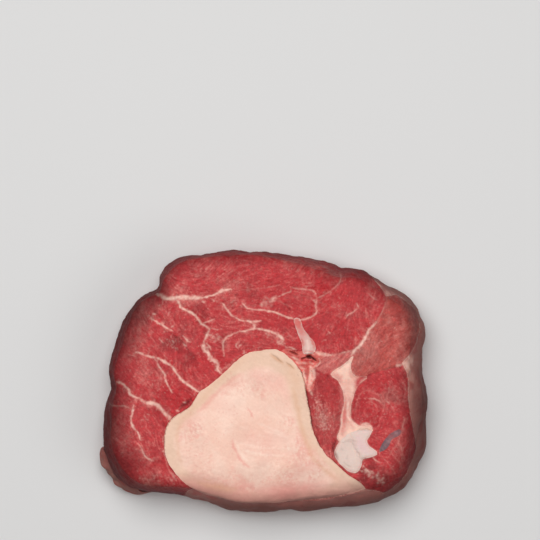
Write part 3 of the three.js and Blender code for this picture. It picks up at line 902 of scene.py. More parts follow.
# The bone: the painted shade along its low edge, its cracks, where it is pink, tan and light
BONE_DIM = [
    (7.0, 0.16, [(190, 474), (206, 485), (250, 492), (290, 491), (325, 482)]),
    (9.0, 0.19, [(215, 473), (250, 480), (290, 480), (318, 475), (340, 478)]),
    (6.0, 0.22, [(343, 477), (351, 481), (358, 488)]),
    (5.0, 0.16, [(316, 480), (328, 481), (340, 475)]),
]
BONE_CRACKS = [
    (0.45, 0.45, [(271.5, 353.5), (274, 355.7), (277, 357.2), (280, 360), (283.3, 362.3)]),
    (0.3, 0.7, [(286.3, 362.3), (288, 363.6), (290, 364.4), (292, 366.8), (293.8, 368.3)]),
    (0.25, 0.5, [(297, 374), (299, 376.5)]),
]
BONE_BLUSH = [
    (1.5, 0.6, [(198, 412), (204, 407), (213, 397), (222, 388.5), (232, 380), (240, 375)]),
    (0.8, 0.75, [(232.6, 440), (233.7, 447), (238, 456), (244, 463), (250.7, 467.4)]),
    (0.5, 0.8, [(246.5, 408), (250, 411), (252, 415), (253, 419)]),
    (0.4, 0.6, [(242, 393), (244, 396)]),
    (0.5, 0.7, [(251.5, 429), (252, 431)]),
    (0.35, 0.6, [(271, 428.5), (276, 429.5)]),
    (0.5, 0.8, [(297, 433), (299, 434), (302, 434.5)]),
    (0.5, 0.7, [(299, 437), (302, 439), (304, 442)]),
    (0.5, 0.6, [(295, 462), (297, 464)]),
    (0.6, 0.6, [(309, 461), (313, 463)]),
    (5.0, 0.5, [(296, 474), (306, 468), (318, 464)]),
    (3.5, 0.35, [(333, 478), (348, 484)]),
    (2.5, 0.35, [(305, 440), (311, 450), (319, 458)]),
    (4.0, 0.35, [(270, 374), (280, 384), (287, 396)]),
    (5.0, 0.25, [(212, 400), (222, 405), (232, 412)]),
    (4.5, 0.5, [(262, 490), (285, 489), (305, 486), (322, 482)]),
    (6.5, 0.35, [(246, 437), (262, 441), (286, 438)]),
    (5.0, 0.5, [(256, 376), (266, 380), (274, 388)]),
    (3.5, 0.4, [(222, 394), (232, 385), (242, 382)]),
    (4.0, 0.4, [(184, 424), (190, 421), (198, 416)]),
    (4.0, 0.45, [(299, 432), (304, 446), (309, 456)]),
    (0.5, 0.6, [(184.4, 429), (185.5, 436), (186, 442)]),
    (1.0, 0.25, [(240, 447), (256, 450), (274, 453), (296, 452)]),
    (0.8, 0.2, [(246, 455), (262, 458), (280, 459)]),
]
BONE_TAN = [
    (1.2, 1.0, [(271, 354.5), (275, 357.5), (279, 360), (283, 363.2)]),
    (0.9, 0.9, [(286, 363), (290, 365.5), (294, 369.5)]),
    (2.0, 0.25, [(178, 424), (188, 414), (200, 401), (212, 388), (224, 376), (236, 366), (246, 358)]),
    (1.6, 0.5, [(293, 388), (298, 410), (302, 430), (309, 450), (320, 465), (335, 478)]),
    (2.0, 0.5, [(199, 483), (215, 487), (235, 489)]),
    (0.4, 0.6, [(203, 479), (207, 480.5), (212, 481)]),
    (1.2, 0.4, [(180, 424), (177, 436), (178, 448), (182, 462)]),
    (3.0, 0.3, [(285, 362), (293, 375), (299, 392)]),
]
BONE_LIGHT = [
    (1.0, 0.9, [(236, 442), (239, 450), (243, 456), (247, 460)]),
    (1.5, 0.7, [(240, 428), (245, 428), (249, 429)]),
    (2.5, 0.6, [(220, 438), (226, 431), (232, 425)]),
    (1.5, 0.5, [(180, 430), (184, 436), (183, 444)]),
    (0.9, 0.8, [(258, 424), (268, 427), (284, 434)]),
    (0.7, 0.7, [(262, 430), (274, 433), (288, 438)]),
    (0.8, 0.7, [(243, 450), (262, 454), (284, 456)]),
    (0.7, 0.6, [(238, 443), (262, 447), (292, 449)]),
    (1.2, 0.5, [(296, 470), (306, 463), (316, 466)]),
    (3.5, 0.4, [(208, 440), (214, 455), (222, 468)]),
    (2.5, 0.15, [(250, 395), (262, 404), (272, 414)]),
    (5.0, 0.3, [(196, 440), (202, 455), (212, 470)]),
    (1.2, 0.7, [(174, 438), (177, 447), (180, 452)]),
    (1.2, 0.6, [(178, 463), (183, 470), (186, 476)]),
]
# Where the bone's pink mottling is strong: centre, radius in pixels and strength
BONE_MOTTLED = [
    (258, 383, 17, 0.6), (228, 389, 9, 0.8), (190, 432, 14, 0.8), (304, 452, 20, 1.0),
    (312, 466, 16, 1.0), (285, 488, 24, 0.9), (240, 488, 20, 0.7), (262, 442, 16, 0.5),
    (205, 462, 14, 0.4), (290, 425, 12, 0.6),
]
# Where its pores lie: from and to, how far round and how many
BONE_PORES = [
    ((228, 377), (244, 386), 6, 70), ((296, 430), (306, 462), 6, 110), ((184, 418), (204, 428), 6, 50),
    ((285, 462), (325, 474), 8, 120), ((257, 374), (280, 390), 8, 70), ((215, 395), (232, 440), 16, 60),
    ((186, 440), (200, 470), 8, 40), ((245, 486), (315, 486), 6, 70), ((304, 392), (319, 448), 2, 30),
]
# The way of the saw marks on the bone, and the middle that a muscle's fibres run round
SAWN_DEG = -14
SWIRL_CENTRE_PX = (368, 413)
# The large tendon's raised ridge, its lilac parts and its thin brown stains
TENDON_RIDGE = [(350, 435), (352.5, 442), (355, 448), (358, 453), (362, 458)]
TENDON_LILAC = [
    (4.0, 0.9, [(358, 436), (361, 444), (366, 450), (372, 453)]),
    (2.4, 0.7, [(362, 432), (368, 431)]),
    (1.0, 0.6, [(346, 470), (353, 471)]),
]
TENDON_STAINS = [
    (0.3, 0.5, [(350.5, 440.5), (354, 446), (357, 451), (360.5, 458)]),
    (0.25, 0.35, [(340, 442), (347, 441.5), (353, 442)]),
    (0.6, 0.35, [(341, 447), (342, 450)]),
    (0.5, 0.35, [(347, 455), (347, 458)]),
    (0.6, 0.4, [(344, 463), (350, 466)]),
    (0.4, 0.35, [(345, 441), (350, 439.5), (356, 441)]),
]
# Where the seam is red like the flesh beside it
SEAM_RED = [
    (3.6, 1.0, [(370, 376), (363, 377.3), (359.4, 380.5), (358.2, 386), (356.8, 393)]),
    (1.0, 0.9, [(355.5, 395), (354.3, 405), (354, 417)]),
    (0.6, 0.75, [(347.8, 394), (348.6, 402), (347.5, 411)]),
    (1.5, 1.0, [(338.2, 377), (339.8, 381.5)]),
    (0.8, 0.6, [(352, 369), (353, 375), (358, 377)]),
    (0.9, 0.7, [(342, 384), (343, 391), (342.5, 398)]),
]
# The tendon strip's cream core and its pink sides
STRIP_CORE = [(307, 341), (308, 345), (308.5, 349)]
STRIP_PINK = [
    (6.0, 1.0, [(292, 309), (297.5, 321), (301.5, 331), (304, 337)]),
    (4.5, 0.45, [(304, 336), (308, 343), (310, 352)]),
    (2.4, 0.95, [(300.5, 335), (302.5, 342), (303, 350)]),
    (2.2, 0.9, [(308, 333), (312.5, 341), (314.5, 349)]),
    (1.6, 0.9, [(305, 351.5), (309, 352), (313, 351)]),
]
# Where the seam is salmon pink, and the reddish strip along the fat cover
SEAM_SALMON = [
    (3.2, 0.95, [(344.8, 396), (344.8, 406), (344.5, 414), (344, 422), (341.5, 434)]),
    (1.3, 0.7, [(350, 396), (350.3, 403), (348.8, 410)]),
    (2.2, 0.7, [(331, 374), (336, 376), (341, 380.5), (343, 386)]),
    (2.6, 0.7, [(351, 408), (350, 418), (353, 427)]),
    (1.3, 0.5, [(349.5, 368), (352, 378), (356, 384)]),
]
OUTER_STRIP = [(424, 384), (427, 398), (426, 415), (426, 432)]

# The painted shade at the edge, by direction in degrees: where its rise starts and how wide it is in
# millimetres from the outline, the least light, and the power of the rise
EDGE_DARK = [
    (0, 0.0, 14.0, 0.175, 1.6), (15, 0.0, 13.0, 0.255, 1.1), (30, 0.0, 10.5, 0.275, 1.2),
    (45, 0.0, 12.5, 0.225, 0.95), (60, 0.0, 7.5, 0.385, 0.8), (75, 0.0, 7.0, 0.325, 1.0),
    (120, 0.0, 7.0, 0.305, 1.0), (135, 0.0, 8.5, 0.265, 1.2), (150, 0.0, 11.0, 0.155, 2.0),
    (165, 0.0, 12.5, 0.165, 1.1), (180, 0.0, 12.0, 0.155, 1.0), (195, 0.0, 13.5, 0.165, 1.9),
    (210, 0.0, 17.0, 0.205, 1.4), (216, 0.0, 13.5, 0.225, 1.1), (225, 0.0, 12.5, 0.185, 1.0),
    (240, 0.0, 8.5, 0.365, 1.2), (255, 0.6, 8.5, 0.265, 1.6), (270, 2.4, 7.5, 0.215, 1.1),
    (285, 1.9, 8.8, 0.225, 1.0), (300, 1.4, 10.8, 0.215, 0.9), (315, 0.0, 16.0, 0.165, 1.5),
    (330, 0.0, 13.5, 0.225, 1.6), (345, 0.0, 13.5, 0.145, 1.8), (353, 0.0, 14.0, 0.115, 2.0),
    (360, 0.0, 14.0, 0.175, 1.6),
]
# Below its widest level the wall has less painted shade: by how much, and over which share of the way down
UNDER_LIGHT = 0.6
UNDER_FADE = 0.35
# Patches of painted light at the edge, where the painted shade is weaker and fat is creamier: centre,
# radius in pixels, strength
LIT = [
    (406, 363.5, 9, 0.6), (413, 361, 7, 0.35), (379, 286, 8, 0.45), (386, 294, 6, 0.35),
    (398, 298, 8, 0.3), (411, 377, 6, 0.2), (195, 482, 8, 0.35), (302, 498, 9, 0.35), (322, 493, 8, 0.3),
    (401, 472, 7, 0.12), (212, 496, 9, 0.25), (232, 500, 9, 0.15), (275, 500, 11, 0.15),
]

# How the drawn things are roughened: the weight, seed and size in millimetres of each one's noises
NOISES = {
    "ruffle": [(1.0, 12, 3.0), (0.5, 13, 1.2)],
    "fibre_bend": [(1.0, 11, 16.0)],
    "fine_bend": [(0.24, 83, 2.6)],
    "fat_strength": [(0.2, 25, 0.8), (0.1, 23, 3.0)],
    "bundle_strength": [(1.0, 34, 4.0)],
    "painted_glint_strength": [(0.6, 30, 5.0)],
    "flesh_pale": [(0.08, 31, 9.0), (0.06, 32, 2.6), (0.07, 35, 0.7)],
    "bone_stipple": [(0.17, 38, 0.45), (0.09, 39, 1.0)],
    "bone_light": [(0.13, 36, 7.0)],
    "dull_flesh": [(1.0, 43, 8.0), (0.4, 44, 2.5)],
    "shade": [(0.02, 41, 5.0)],
    "fine_shade": [(1.0, 42, 1.2)],
    "bone_mottle": [(0.5, 51, 5.0), (0.6, 52, 1.1), (0.9, 53, 0.5)],
    "blood": [(1.0, 54, 10.0), (0.4, 55, 3.0)],
    "fine_blood": [(0.1, 57, 1.6)],
    "fat_stain": [(1.0, 56, 4.0), (0.4, 58, 1.2)],
    "rim": [(0.1, 61, 3.0)],
    "swell": [(0.25, 72, 18.0), (0.07, 73, 5.0)],
    "flesh_relief": [(0.04, 74, 1.3)],
    "vessel_relief": [(0.32, 70, 1.9)],
    "bone_relief": [(0.35, 75, 26.0), (0.025, 76, 1.0), (0.012, 77, 0.5)],
    "wall_relief": [(0.32, 78, 9.0), (0.14, 79, 3.5)],
    "grain": [(0.55, 82, 0.6)],
    "flap_lumps": [(1.0, 91, 3.5)],
    "flap_tint": [(1.0, 92, 4.0)],
}

# How far the fibres bend, in radians: all of them, those that swirl, and the saw marks on the bone
FIBRE_BEND = 0.25
SWIRL_BEND = 0.4
SAWN_BEND = 0.3
SWIRL_FADE = (8.0, 14.0)

# Soft areas: between which shares of the radius they fade, and how uneven their outline is
AREA_FADE = (0.25, 1.25)
AREA_RUFFLE = 0.22
BESIDE_FADE = (0.08, 0.55)
BESIDE_RUFFLE = 0.06

# Strewn flecks: how long each is, the step between its dabs and how soft they are
FLECK_LENGTH = (0.1, 0.7)
FLECK_STEP = 0.15
FLECK_SOFT = 0.16

# Lumps of fat are short strokes: half the length and the rise in pixels, and the width by size
LUMP_HALF_PX = 1.1
LUMP_RISE_PX = 0.8
LUMP_WIDTH = 1.2
LUMP_RAGGED = 0.25

# Shifts of what is drawn: the share and the size of the wide ones and of the narrow ones
WARP_PARTS = ((0.4, 1.6), (0.6, 0.6))

# Fat: how much of its strength it keeps, its limits, and how creamy the flesh beside it is
FAT_OWN = 0.88
FAT_LIMITS = (0.3, 1.1)
CREAMY_FLESH = 0.4

# What each thing adds to the paleness of the flesh, painted glint highlights among them, and where the
# painted sheen along the fibres shows
HAZE_PALE = 0.55
NEAR_FAT_PALE = 0.35
BUNDLE_PALE = 0.14
PAINTED_GLINT_PALE = 0.21
FINE_PALE = 0.06
LESS_PALE = 0.05
BUNDLE_WALL = 0.15
BUNDLE_RANGE = (-0.8, 0.9)
PAINTED_GLINT_RANGE = (1.1, 2.8)
LUSTRE_LIGHT = (0.1, 0.75)
LUSTRE_LESS = 0.5

# The bone's lightness: its own, what marks and the saw's grain add, how much of the stipple shows
# outside the mottled areas, and how much of it all the dense rim loses
BONE_OWN = 0.43
BONE_MARKS = 0.5
GRAIN_STIPPLE = 0.1
STIPPLE_LEAST = 0.25
RIM_LESS = 0.75

# How much light is lost: under the painted shade in creases and on dark marks, what the bone keeps of
# these, and in dull blots.
# Then how much the light flickers from place to place, and its most
DARK_LOSS = 0.8
BONE_DARK = 0.35
DULL_LOSS = 0.12
DULL_RANGE = (0.4, 1.9)
FLESH_FLICKER = 0.03
LEAST_FLICKER = 0.01
BRIGHTEST = 1.15

# How near the outline the skin turns redder, in millimetres, and how strongly blood and that redness show in
# each place
EDGE_REDDENING = (5.0, 15.0)
BONE_EDGE_BLUSH = 0.85
FAT_EDGE_BLUSH = 0.8
MOTTLE_BLUSH = 0.6
MOTTLE_LEAST = 0.2
MOTTLE_RANGE = (0.1, 1.8)
MOTTLE_RIM_LESS = 0.7
BRIGHT_BLUSH = 0.7
BLOOD_BLUSH = 0.3
BLOOD_RANGE = (-0.6, 1.6)
BESIDE_FLESH_FAT = 0.55
BESIDE_FLESH_OTHER = 0.45
FAT_STAIN = 0.3
STAIN_RANGE = (0.3, 1.7)

# Where the rim begins: how soft its border with the core is, and how the border's blur becomes rim
RIM_BLUR = 1.1
RIM_OUTSIDE = 1.1
RIM_LOST = 1.2

# Heights and depths in millimetres, and where the wall's own relief begins and all relief ends
VESSEL_DEPTH = 4.5
CREASE_DEPTH = 0.5
CREASE_FILLED = 0.38
TENDON_RISE = 0.3
FAT_RISE = 0.08
FIBRE_RISE = 0.05
CRACK_DEPTH = 0.3
TENDON_BLUR = 0.9
TENDON_ROUND = (0.45, 1.0)
WALL_FADE = (0.05, 0.3)
BASE_FADE = (0.9, 1.0)

# What the two kinds of streaks add to the grain
GRAIN_SHARE = 0.42


def blots(use):
    """The random unevenness for one use."""
    return sum(weight * noise(seed, size) for weight, seed, size in NOISES[use])


def by_muscle(value_of, elsewhere=0.0):
    """A layer with a value worked out for each muscle, and one value elsewhere."""
    layer = blank(elsewhere)
    for name, muscle in MUSCLES.items():
        layer = np.where(INSIDE[name], value_of(muscle), layer)
    return layer


def paint_edge_shade():
    """The painted shade that darkens the skin towards the outline, where it turns away: 1 is unshaded."""
    turn = turned(MAP_POINTS)
    degrees, *columns = np.array(EDGE_DARK).T
    begin, width, least, power = (np.interp(turn / DIRECTIONS * 360, degrees, column) for column in columns)
    rise = np.clip((outline_inset(MAP_POINTS) - begin) / width, 0.0, 1.0)
    light = least + (1 - least) * rise ** power
    below = wall_share(MAP_POINTS) - widest_share(turn)
    return (light + UNDER_LIGHT * smoothstep(0.0, UNDER_FADE, below)).reshape(MAP_SHAPE)


def fibre_angles():
    """The direction of the fibres all over the map."""
    bend = blots("fibre_bend")

    def own_angle(muscle):
        """The direction of the fibres of one muscle."""
        return math.radians(muscle.fibre_deg) + (FIBRE_BEND + SWIRL_BEND * muscle.swirl) * bend

    angle = np.where(BONE, math.radians(SAWN_DEG) + SAWN_BEND * bend, by_muscle(own_angle))
    x, y = from_pixels([SWIRL_CENTRE_PX])[0]
    round_it = np.arctan2(GRID_Y - y, GRID_X - x) + math.pi / 2
    away = np.hypot(GRID_X - x, GRID_Y - y)
    near = (1 - smoothstep(*SWIRL_FADE, away)) * INSIDE["muscle_lower_right"]
    return angle * (1 - near) + round_it * near


def areas(places):
    """Soft blots of uneven outline, the strongest where they meet."""
    layer = blank()
    for x, y, radius, strength in places:
        middle = unrolled(from_pixels([(x, y)]))[0]
        away = np.hypot(GRID_X - middle[0], GRID_Y - middle[1]) / (radius * PIXEL_MM)
        blot = strength * (1 - smoothstep(*AREA_FADE, away + AREA_RUFFLE * RUFFLE))
        np.maximum(layer, blot, out=layer)
    return layer


def strewn(layer, zones, seed):
    """Flecks at random round the lines from one pixel to another."""
    draw = np.random.default_rng(seed)
    for start, end, reach, count, size, strength in zones:
        share = draw.random((count, 1))
        pixels = np.array(start) + share * (np.array(end) - np.array(start))
        pixels = pixels + draw.normal(0.0, 0.5 * reach, (count, 2))
        for x, y in unrolled(from_pixels(pixels)):
            tilt = draw.uniform(0.0, math.pi)
            power = strength * draw.uniform(*UNEVEN)
            for step in np.arange(0.0, draw.uniform(*FLECK_LENGTH), FLECK_STEP):
                dab(layer, x + math.cos(tilt) * step, y + math.sin(tilt) * step,
                    size * draw.uniform(*UNEVEN), power, FLECK_SOFT)


def draw_lines(layer, lines, seed, spread=0.3, ragged=0.2, hairs=0.0, wider=0.0):
    """A set of lines, each softened by a share of its width."""
    for number, (width, strength, pixels) in enumerate(lines):
        stroke(layer, pixels, width + wider, strength, soft=max(LEAST_SOFT, spread * width),
               ragged=ragged, seed=seed + number, hairs=hairs)


def drawn(lines, **how):
    """A new layer with only a set of lines on it."""
    layer = blank()
    draw_lines(layer, lines, **how)
    return layer


def draw_pores(layer, size, strength):
    """The pores of the spongy bone."""
    strewn(layer, [(*zone, size, strength) for zone in BONE_PORES], seed=9)


def shiver(seed, reach):
    """How far the map is shifted at random, one way and back, at most about a reach."""
    return reach * sum(share * noise(seed + number, size) for number, (share, size) in enumerate(WARP_PARTS))


def warped(layer, seed, reach):
    """A layer whose features are shifted a little, so that drawn lines lose their evenness."""
    shifted_x = GRID_X + shiver(seed, reach)
    shifted_y = GRID_Y + shiver(seed + 2, reach)
    return read_map(layer, np.column_stack([shifted_x.ravel(), shifted_y.ravel()])).reshape(MAP_SHAPE)


def next_to(mask, reach):
    """1 beside a masked area, falling to 0 over a distance, with an uneven border."""
    return smoothstep(*BESIDE_FADE, blurred(mask.astype(float), reach) + BESIDE_RUFFLE * RUFFLE)


def draw_lumps(layer):
    """Small lumps of fat, each a short stroke at a slant of its own."""
    for size, strength, places in FAT_SPOTS:
        for number, (x, y) in enumerate(places):
            slant = LUMP_RISE_PX * (number % 3 - 1)
            ends = [(x - LUMP_HALF_PX, y + slant), (x + LUMP_HALF_PX, y + 0.5 * LUMP_RISE_PX)]
            stroke(layer, ends, LUMP_WIDTH * size, strength, ragged=LUMP_RAGGED, seed=number, hairs=1.0)


def draw_fat():
    """Seams and marbling of fat, and the flecks strewn between, with fine specks that are fat and painted
    sparkle highlights. On bone: its tan bands.
    """
    layer = drawn(SEAM_FAT + MARBLING, seed=1, spread=0.25, ragged=0.07, hairs=1.0)
    draw_lumps(layer)
    strewn(layer, FLECKS, seed=20)
    draw_lines(layer, VESSEL_CREAM, seed=3, spread=0.14, ragged=0.12)
    layer = warped(layer, seed=26, reach=0.11)
    # Fine pale specks over the flesh: fat, and painted sparkle highlights
    spots(layer, seed=21, count=2600, inside=FLESH, size=0.09, strength=0.5)
    spots(layer, seed=22, count=200, inside=FLESH, size=0.16, strength=0.5)
    stroke(layer, STRIP_CORE, width=1.6, strength=0.8, soft=0.5)
    layer = layer * np.clip(FAT_OWN + blots("fat_strength"), *FAT_LIMITS)
    creamy = CREAMY_FLESH * next_to(LIGHT_PARTS, reach=0.35) * FLESH * (1 - RIM)
    tan = drawn(BONE_TAN, seed=4, spread=0.6)
    return np.clip(np.where(BONE, tan, np.maximum(layer, creamy)), 0.0, 1.0)


def bone_lightness():
    """How light the sawn bone is: drawn marks and a fine stipple, all of it weak on the rim."""
    marks = drawn(BONE_LIGHT, seed=6, spread=0.5, ragged=0.1)
    stipple = blots("bone_stipple") + GRAIN_STIPPLE * GRAIN
    stipple = stipple * (STIPPLE_LEAST + (1 - STIPPLE_LEAST) * areas(BONE_MOTTLED))
    return (BONE_OWN + BONE_MARKS * marks + stipple + blots("bone_light")) * (1 - RIM_LESS * RIM)


def draw_pale(fat):
    """Paler flesh: by muscle, in blots, as a haze along the fat and along the fibres, and as painted glint
    highlights.
    """
    layer = blurred(by_muscle(lambda muscle: muscle.pale), 0.5)
    draw_lines(layer, PALE_LINES, seed=5, spread=0.35, ragged=0.3)
    bundles = streaks(FIBRES, seed=33, steps=9, width=0.4)
    walls = np.exp(-(bundles / BUNDLE_WALL) ** 2) * smoothstep(*BUNDLE_RANGE, blots("bundle_strength"))
    painted_glints = smoothstep(*PAINTED_GLINT_RANGE, FINE + blots("painted_glint_strength"))
    painted_sheen_and_fibres = (PAINTED_GLINT_PALE * painted_glints + FINE_PALE * FINE) * smoothstep(*LUSTRE_LIGHT, PAINTED_EDGE_SHADE)
    layer = layer + HAZE_PALE * areas(HAZE) + NEAR_FAT_PALE * blurred(fat, 0.5) + BUNDLE_PALE * walls
    layer = layer + painted_sheen_and_fibres * (1 - LUSTRE_LESS * INSIDE["muscle_right"]) - LESS_PALE + blots("flesh_pale")
    lilac = drawn(TENDON_LILAC, seed=10, spread=0.4)
    layer = np.where(INSIDE["tendon_large"], lilac, layer)
    return np.clip(np.where(BONE, bone_lightness(), layer), 0.0, 1.0)


def draw_holes(depth):
    """The open ends of vessels, as pits of a depth."""
    layer = blank()
    for width, strength, pixels in HOLES:
        stroke(layer, pixels, width, strength * depth, soft=0.26, ragged=0.05)
    return layer


def draw_shade_and_dark():
    """Painted shade in creases and along the bone's low edge, with dark stains, cracks and pores."""
    dark = drawn(SHADED_CREASES, seed=7, spread=0.5)
    draw_lines(dark, TENDON_STAINS, seed=14, spread=0.6)
    stroke(dark, OUTER_STRIP, width=3.0, strength=0.2, soft=0.8)
    dark = warped(dark, seed=45, reach=0.2) * np.where(BONE, BONE_DARK, 1.0)
    draw_lines(dark, BONE_DIM, seed=18, spread=0.35)
    draw_lines(dark, BONE_CRACKS, seed=15, spread=0.4, ragged=0.12)
    draw_pores(dark, size=0.1, strength=0.14)
    return dark


def draw_shade():
    """What is left of the light: painted shade at the edge, in creases and pits, and the flesh's own dull
    tone.
    """
    shade = blurred(by_muscle(lambda muscle: muscle.light, elsewhere=1.0), 0.4)
    dull = smoothstep(*DULL_RANGE, blots("dull_flesh")) * FLESH
    shade = shade * (PAINTED_EDGE_SHADE + (1 - PAINTED_EDGE_SHADE) * areas(LIT)) * (1 - DARK_LOSS * draw_shade_and_dark())
    shade = shade * (1 - DULL_LOSS * dull) * (1 - areas(DULL) * FLESH)
    flicker = (FLESH_FLICKER * FLESH + LEAST_FLICKER) * blots("fine_shade")
    shade = shade * (1 + blots("shade") + flicker)
    # Painted shade in the vessels' pits
    return np.clip(shade * (1 - draw_holes(1.0)), 0.0, BRIGHTEST)


def bone_blush(near_edge):
    """Where blood tints the bone: drawn marks, pores and mottling; and where it turns redder by the outline.
    """
    marks = drawn(BONE_BLUSH, seed=8, spread=0.5, ragged=0.12)
    draw_pores(marks, size=0.16, strength=0.9)
    mottled = MOTTLE_LEAST + (1 - MOTTLE_LEAST) * areas(BONE_MOTTLED)
    mottle = mottled * smoothstep(*MOTTLE_RANGE, blots("bone_mottle") + mottled)
    mottle = MOTTLE_BLUSH * mottle * (1 - MOTTLE_RIM_LESS * RIM)
    return np.maximum(warped(marks, seed=59, reach=0.25), mottle) + BONE_EDGE_BLUSH * near_edge


def draw_blush():
    """Where blood tints the flesh, fat, tendon and bone, and where fat and bone turn redder by the outline.
    """
    inset = outline_inset(MAP_POINTS).reshape(MAP_SHAPE)
    near_edge = 1 - smoothstep(*EDGE_REDDENING, inset)
    bright = BLOOD_BLUSH * smoothstep(*BLOOD_RANGE, blots("blood")) + blots("fine_blood")
    layer = np.where(FLESH, bright + BRIGHT_BLUSH * areas(BRIGHT), 0.0)
    strip = drawn(STRIP_PINK, seed=11, spread=0.35) * INSIDE["tendon_strip"]
    layer = np.maximum(layer, strip)
    draw_lines(layer, VESSEL_BLOOD, seed=12, spread=0.25)
    draw_lines(layer, SEAM_SALMON, seed=16, spread=0.35)
    stroke(layer, OUTER_STRIP, width=3.0, strength=0.9, soft=0.6)
    layer = warped(layer, seed=60, reach=0.25)
    beside = next_to(FLESH, reach=0.45) * ~FLESH
    stain = FAT_STAIN * smoothstep(*STAIN_RANGE, blots("fat_stain"))
    at_edge = FAT_EDGE_BLUSH * near_edge * (1 - areas(LIT))
    on_fat = np.maximum(layer, BESIDE_FLESH_FAT * beside + stain + at_edge) * (1 - RIM)
    other = np.maximum(layer, BESIDE_FLESH_OTHER * beside)
    layer = np.where(parts(("fat_seam", "fat_cover")), on_fat, other)
    return np.clip(np.where(BONE, bone_blush(near_edge), layer), 0.0, 1.0)


def draw_rim():
    """On bone, how far it is dense rim and not spongy core. Elsewhere, where fat is red as flesh."""
    core = blurred(INSIDE["bone_core"].astype(float), RIM_BLUR)
    rim = np.clip(RIM_OUTSIDE - RIM_LOST * core + blots("rim"), 0.0, 1.0)
    red = drawn(SEAM_RED, seed=17, spread=0.35)
    return np.where(BONE, rim, warped(red, seed=62, reach=0.2))


def flesh_relief(fat):
    """The relief of everything but bone: fibres, raised fat and tendons, creases and ridges."""
    relief = blots("swell") + (FIBRE_RISE * GRAIN + blots("flesh_relief")) * FLESH
    relief = relief + FAT_RISE * blurred(fat, 0.2) * FLESH
    crease = drawn(SHADED_CREASES, seed=7, spread=1.0)
    draw_lines(crease, SEAM_FAT, seed=13, spread=1.0, wider=0.8)
    relief = relief - (CREASE_DEPTH - CREASE_FILLED * blurred(fat, 0.3)) * crease
    tendon = parts(("tendon_large", "tendon_strip"))
    rounded = smoothstep(*TENDON_ROUND, blurred(tendon.astype(float), TENDON_BLUR))
    relief = relief + TENDON_RISE * rounded * tendon
    ridge = blank()
    stroke(ridge, TENDON_RIDGE, width=0.8, strength=0.35, soft=0.5)
    return relief + blots("vessel_relief") * parts(("vessel_bundle", "nerve_tube")) - ridge


def draw_relief(fat):
    """How far the surface stands above the skin, in millimetres."""
    cracks = drawn(BONE_CRACKS, seed=15, spread=0.6, ragged=0.12)
    bone = blots("bone_relief") - CRACK_DEPTH * cracks
    relief = np.where(BONE, bone, flesh_relief(fat))
    wall = wall_share(MAP_POINTS).reshape(MAP_SHAPE)
    relief = relief + smoothstep(*WALL_FADE, wall) * blots("wall_relief")
    relief = relief * (1 - smoothstep(*BASE_FADE, wall))
    return relief - draw_holes(VESSEL_DEPTH)


RUFFLE = blots("ruffle")
FIBRES = fibre_angles()
GRAIN = streaks(FIBRES, seed=71, steps=7)
FINE = streaks(FIBRES + blots("fine_bend"), seed=84, steps=10, width=0.12)
LIGHT_PARTS = parts(("fat_seam", "fat_cover", "tendon_large"))
PAINTED_EDGE_SHADE = paint_edge_shade()
RIM = draw_rim()
FAT = draw_fat()
# What the materials read: the shade layer holds the painted shade and the flesh's dull tone, and the pale
# layer holds painted glint highlights among the paler flesh
LAYERS = {
    "fat": FAT,
    "pale": draw_pale(FAT),
    "shade": draw_shade(),
    "blush": draw_blush(),
    "rim": RIM,
    "grain": GRAIN_SHARE * GRAIN + GRAIN_SHARE * FINE + blots("grain"),
}
RELIEF = draw_relief(FAT)


# The meshes

def within(points, outlines):
    """Which points lie inside the first outline and outside the others."""
    inside = np.zeros(len(points), bool)
    order = np.argsort(points[:, 1], kind="stable")
    rows = points[order, 1]
    for outline in outlines:
        ends = np.roll(outline, -1, axis=0)
        for (ax, ay), (bx, by) in zip(outline, ends):
            if ay == by:
                continue
            low, high = np.searchsorted(rows, (min(ay, by), max(ay, by)))
            chosen = order[low:high]
            y = points[chosen, 1]
            cross = ax + (y - ay) / (by - ay) * (bx - ax)
            inside[chosen] ^= points[chosen, 0] < cross
    return inside


def clear_of(points, outlines, distance):
    """Which points keep a distance from every outline."""
    cells = set()
    for outline in outlines:
        for x, y in np.floor(outline / distance).astype(int):
            cells.update((x + i, y + j) for i in (-1, 0, 1) for j in (-1, 0, 1))
    near = [(x, y) in cells for x, y in np.floor(points / distance).astype(int)]
    return ~np.array(near, bool)


def lattice(outlines, step):
    """Evenly spread points over the inside of outlines."""
    low, high = outlines[0].min(axis=0), outlines[0].max(axis=0)
    x = np.arange(low[0], high[0], step)
    y = np.arange(low[1], high[1], step * math.sqrt(3) / 2)
    grid_x, grid_y = np.meshgrid(x, y)
    grid_x = grid_x + 0.5 * step * (np.arange(len(y)) % 2)[:, None]
    points = np.column_stack([grid_x.ravel(), grid_y.ravel()])
    points = points[within(points, outlines)]
    return points[clear_of(points, outlines, CLEAR_OF_EDGE * step)]


def triangulated(outlines, inner):
    """Triangles over outlines and inner points, which keep their order, outlines first."""
    points = np.vstack([*outlines, inner])
    edges, start = [], 0
    for outline in outlines:
        count = len(outline)
        edges += [(start + i, start + (i + 1) % count) for i in range(count)]
        start += count
    made = delaunay_2d_cdt([tuple(p) for p in points], edges, [], 0, 1e-5, True)
    source = np.array([min(ids) if ids else -1 for ids in made[3]])
    places, faces = np.array([tuple(v) for v in made[0]]), np.array(made[2])
    return places, source, faces[within(places[faces].mean(axis=1), outlines)]


def inner_points(outlines):
    """The points inside a piece: close together by the face, and wider apart down the wall."""
    fine = lattice(outlines, FACE_STEP)
    coarse = lattice(outlines, WALL_STEP)
    by_face = fine[beyond_face(fine) < WALL_STEP_FROM]
    on_wall = coarse[beyond_face(coarse) >= WALL_STEP_FROM]
    return np.vstack([by_face, on_wall])


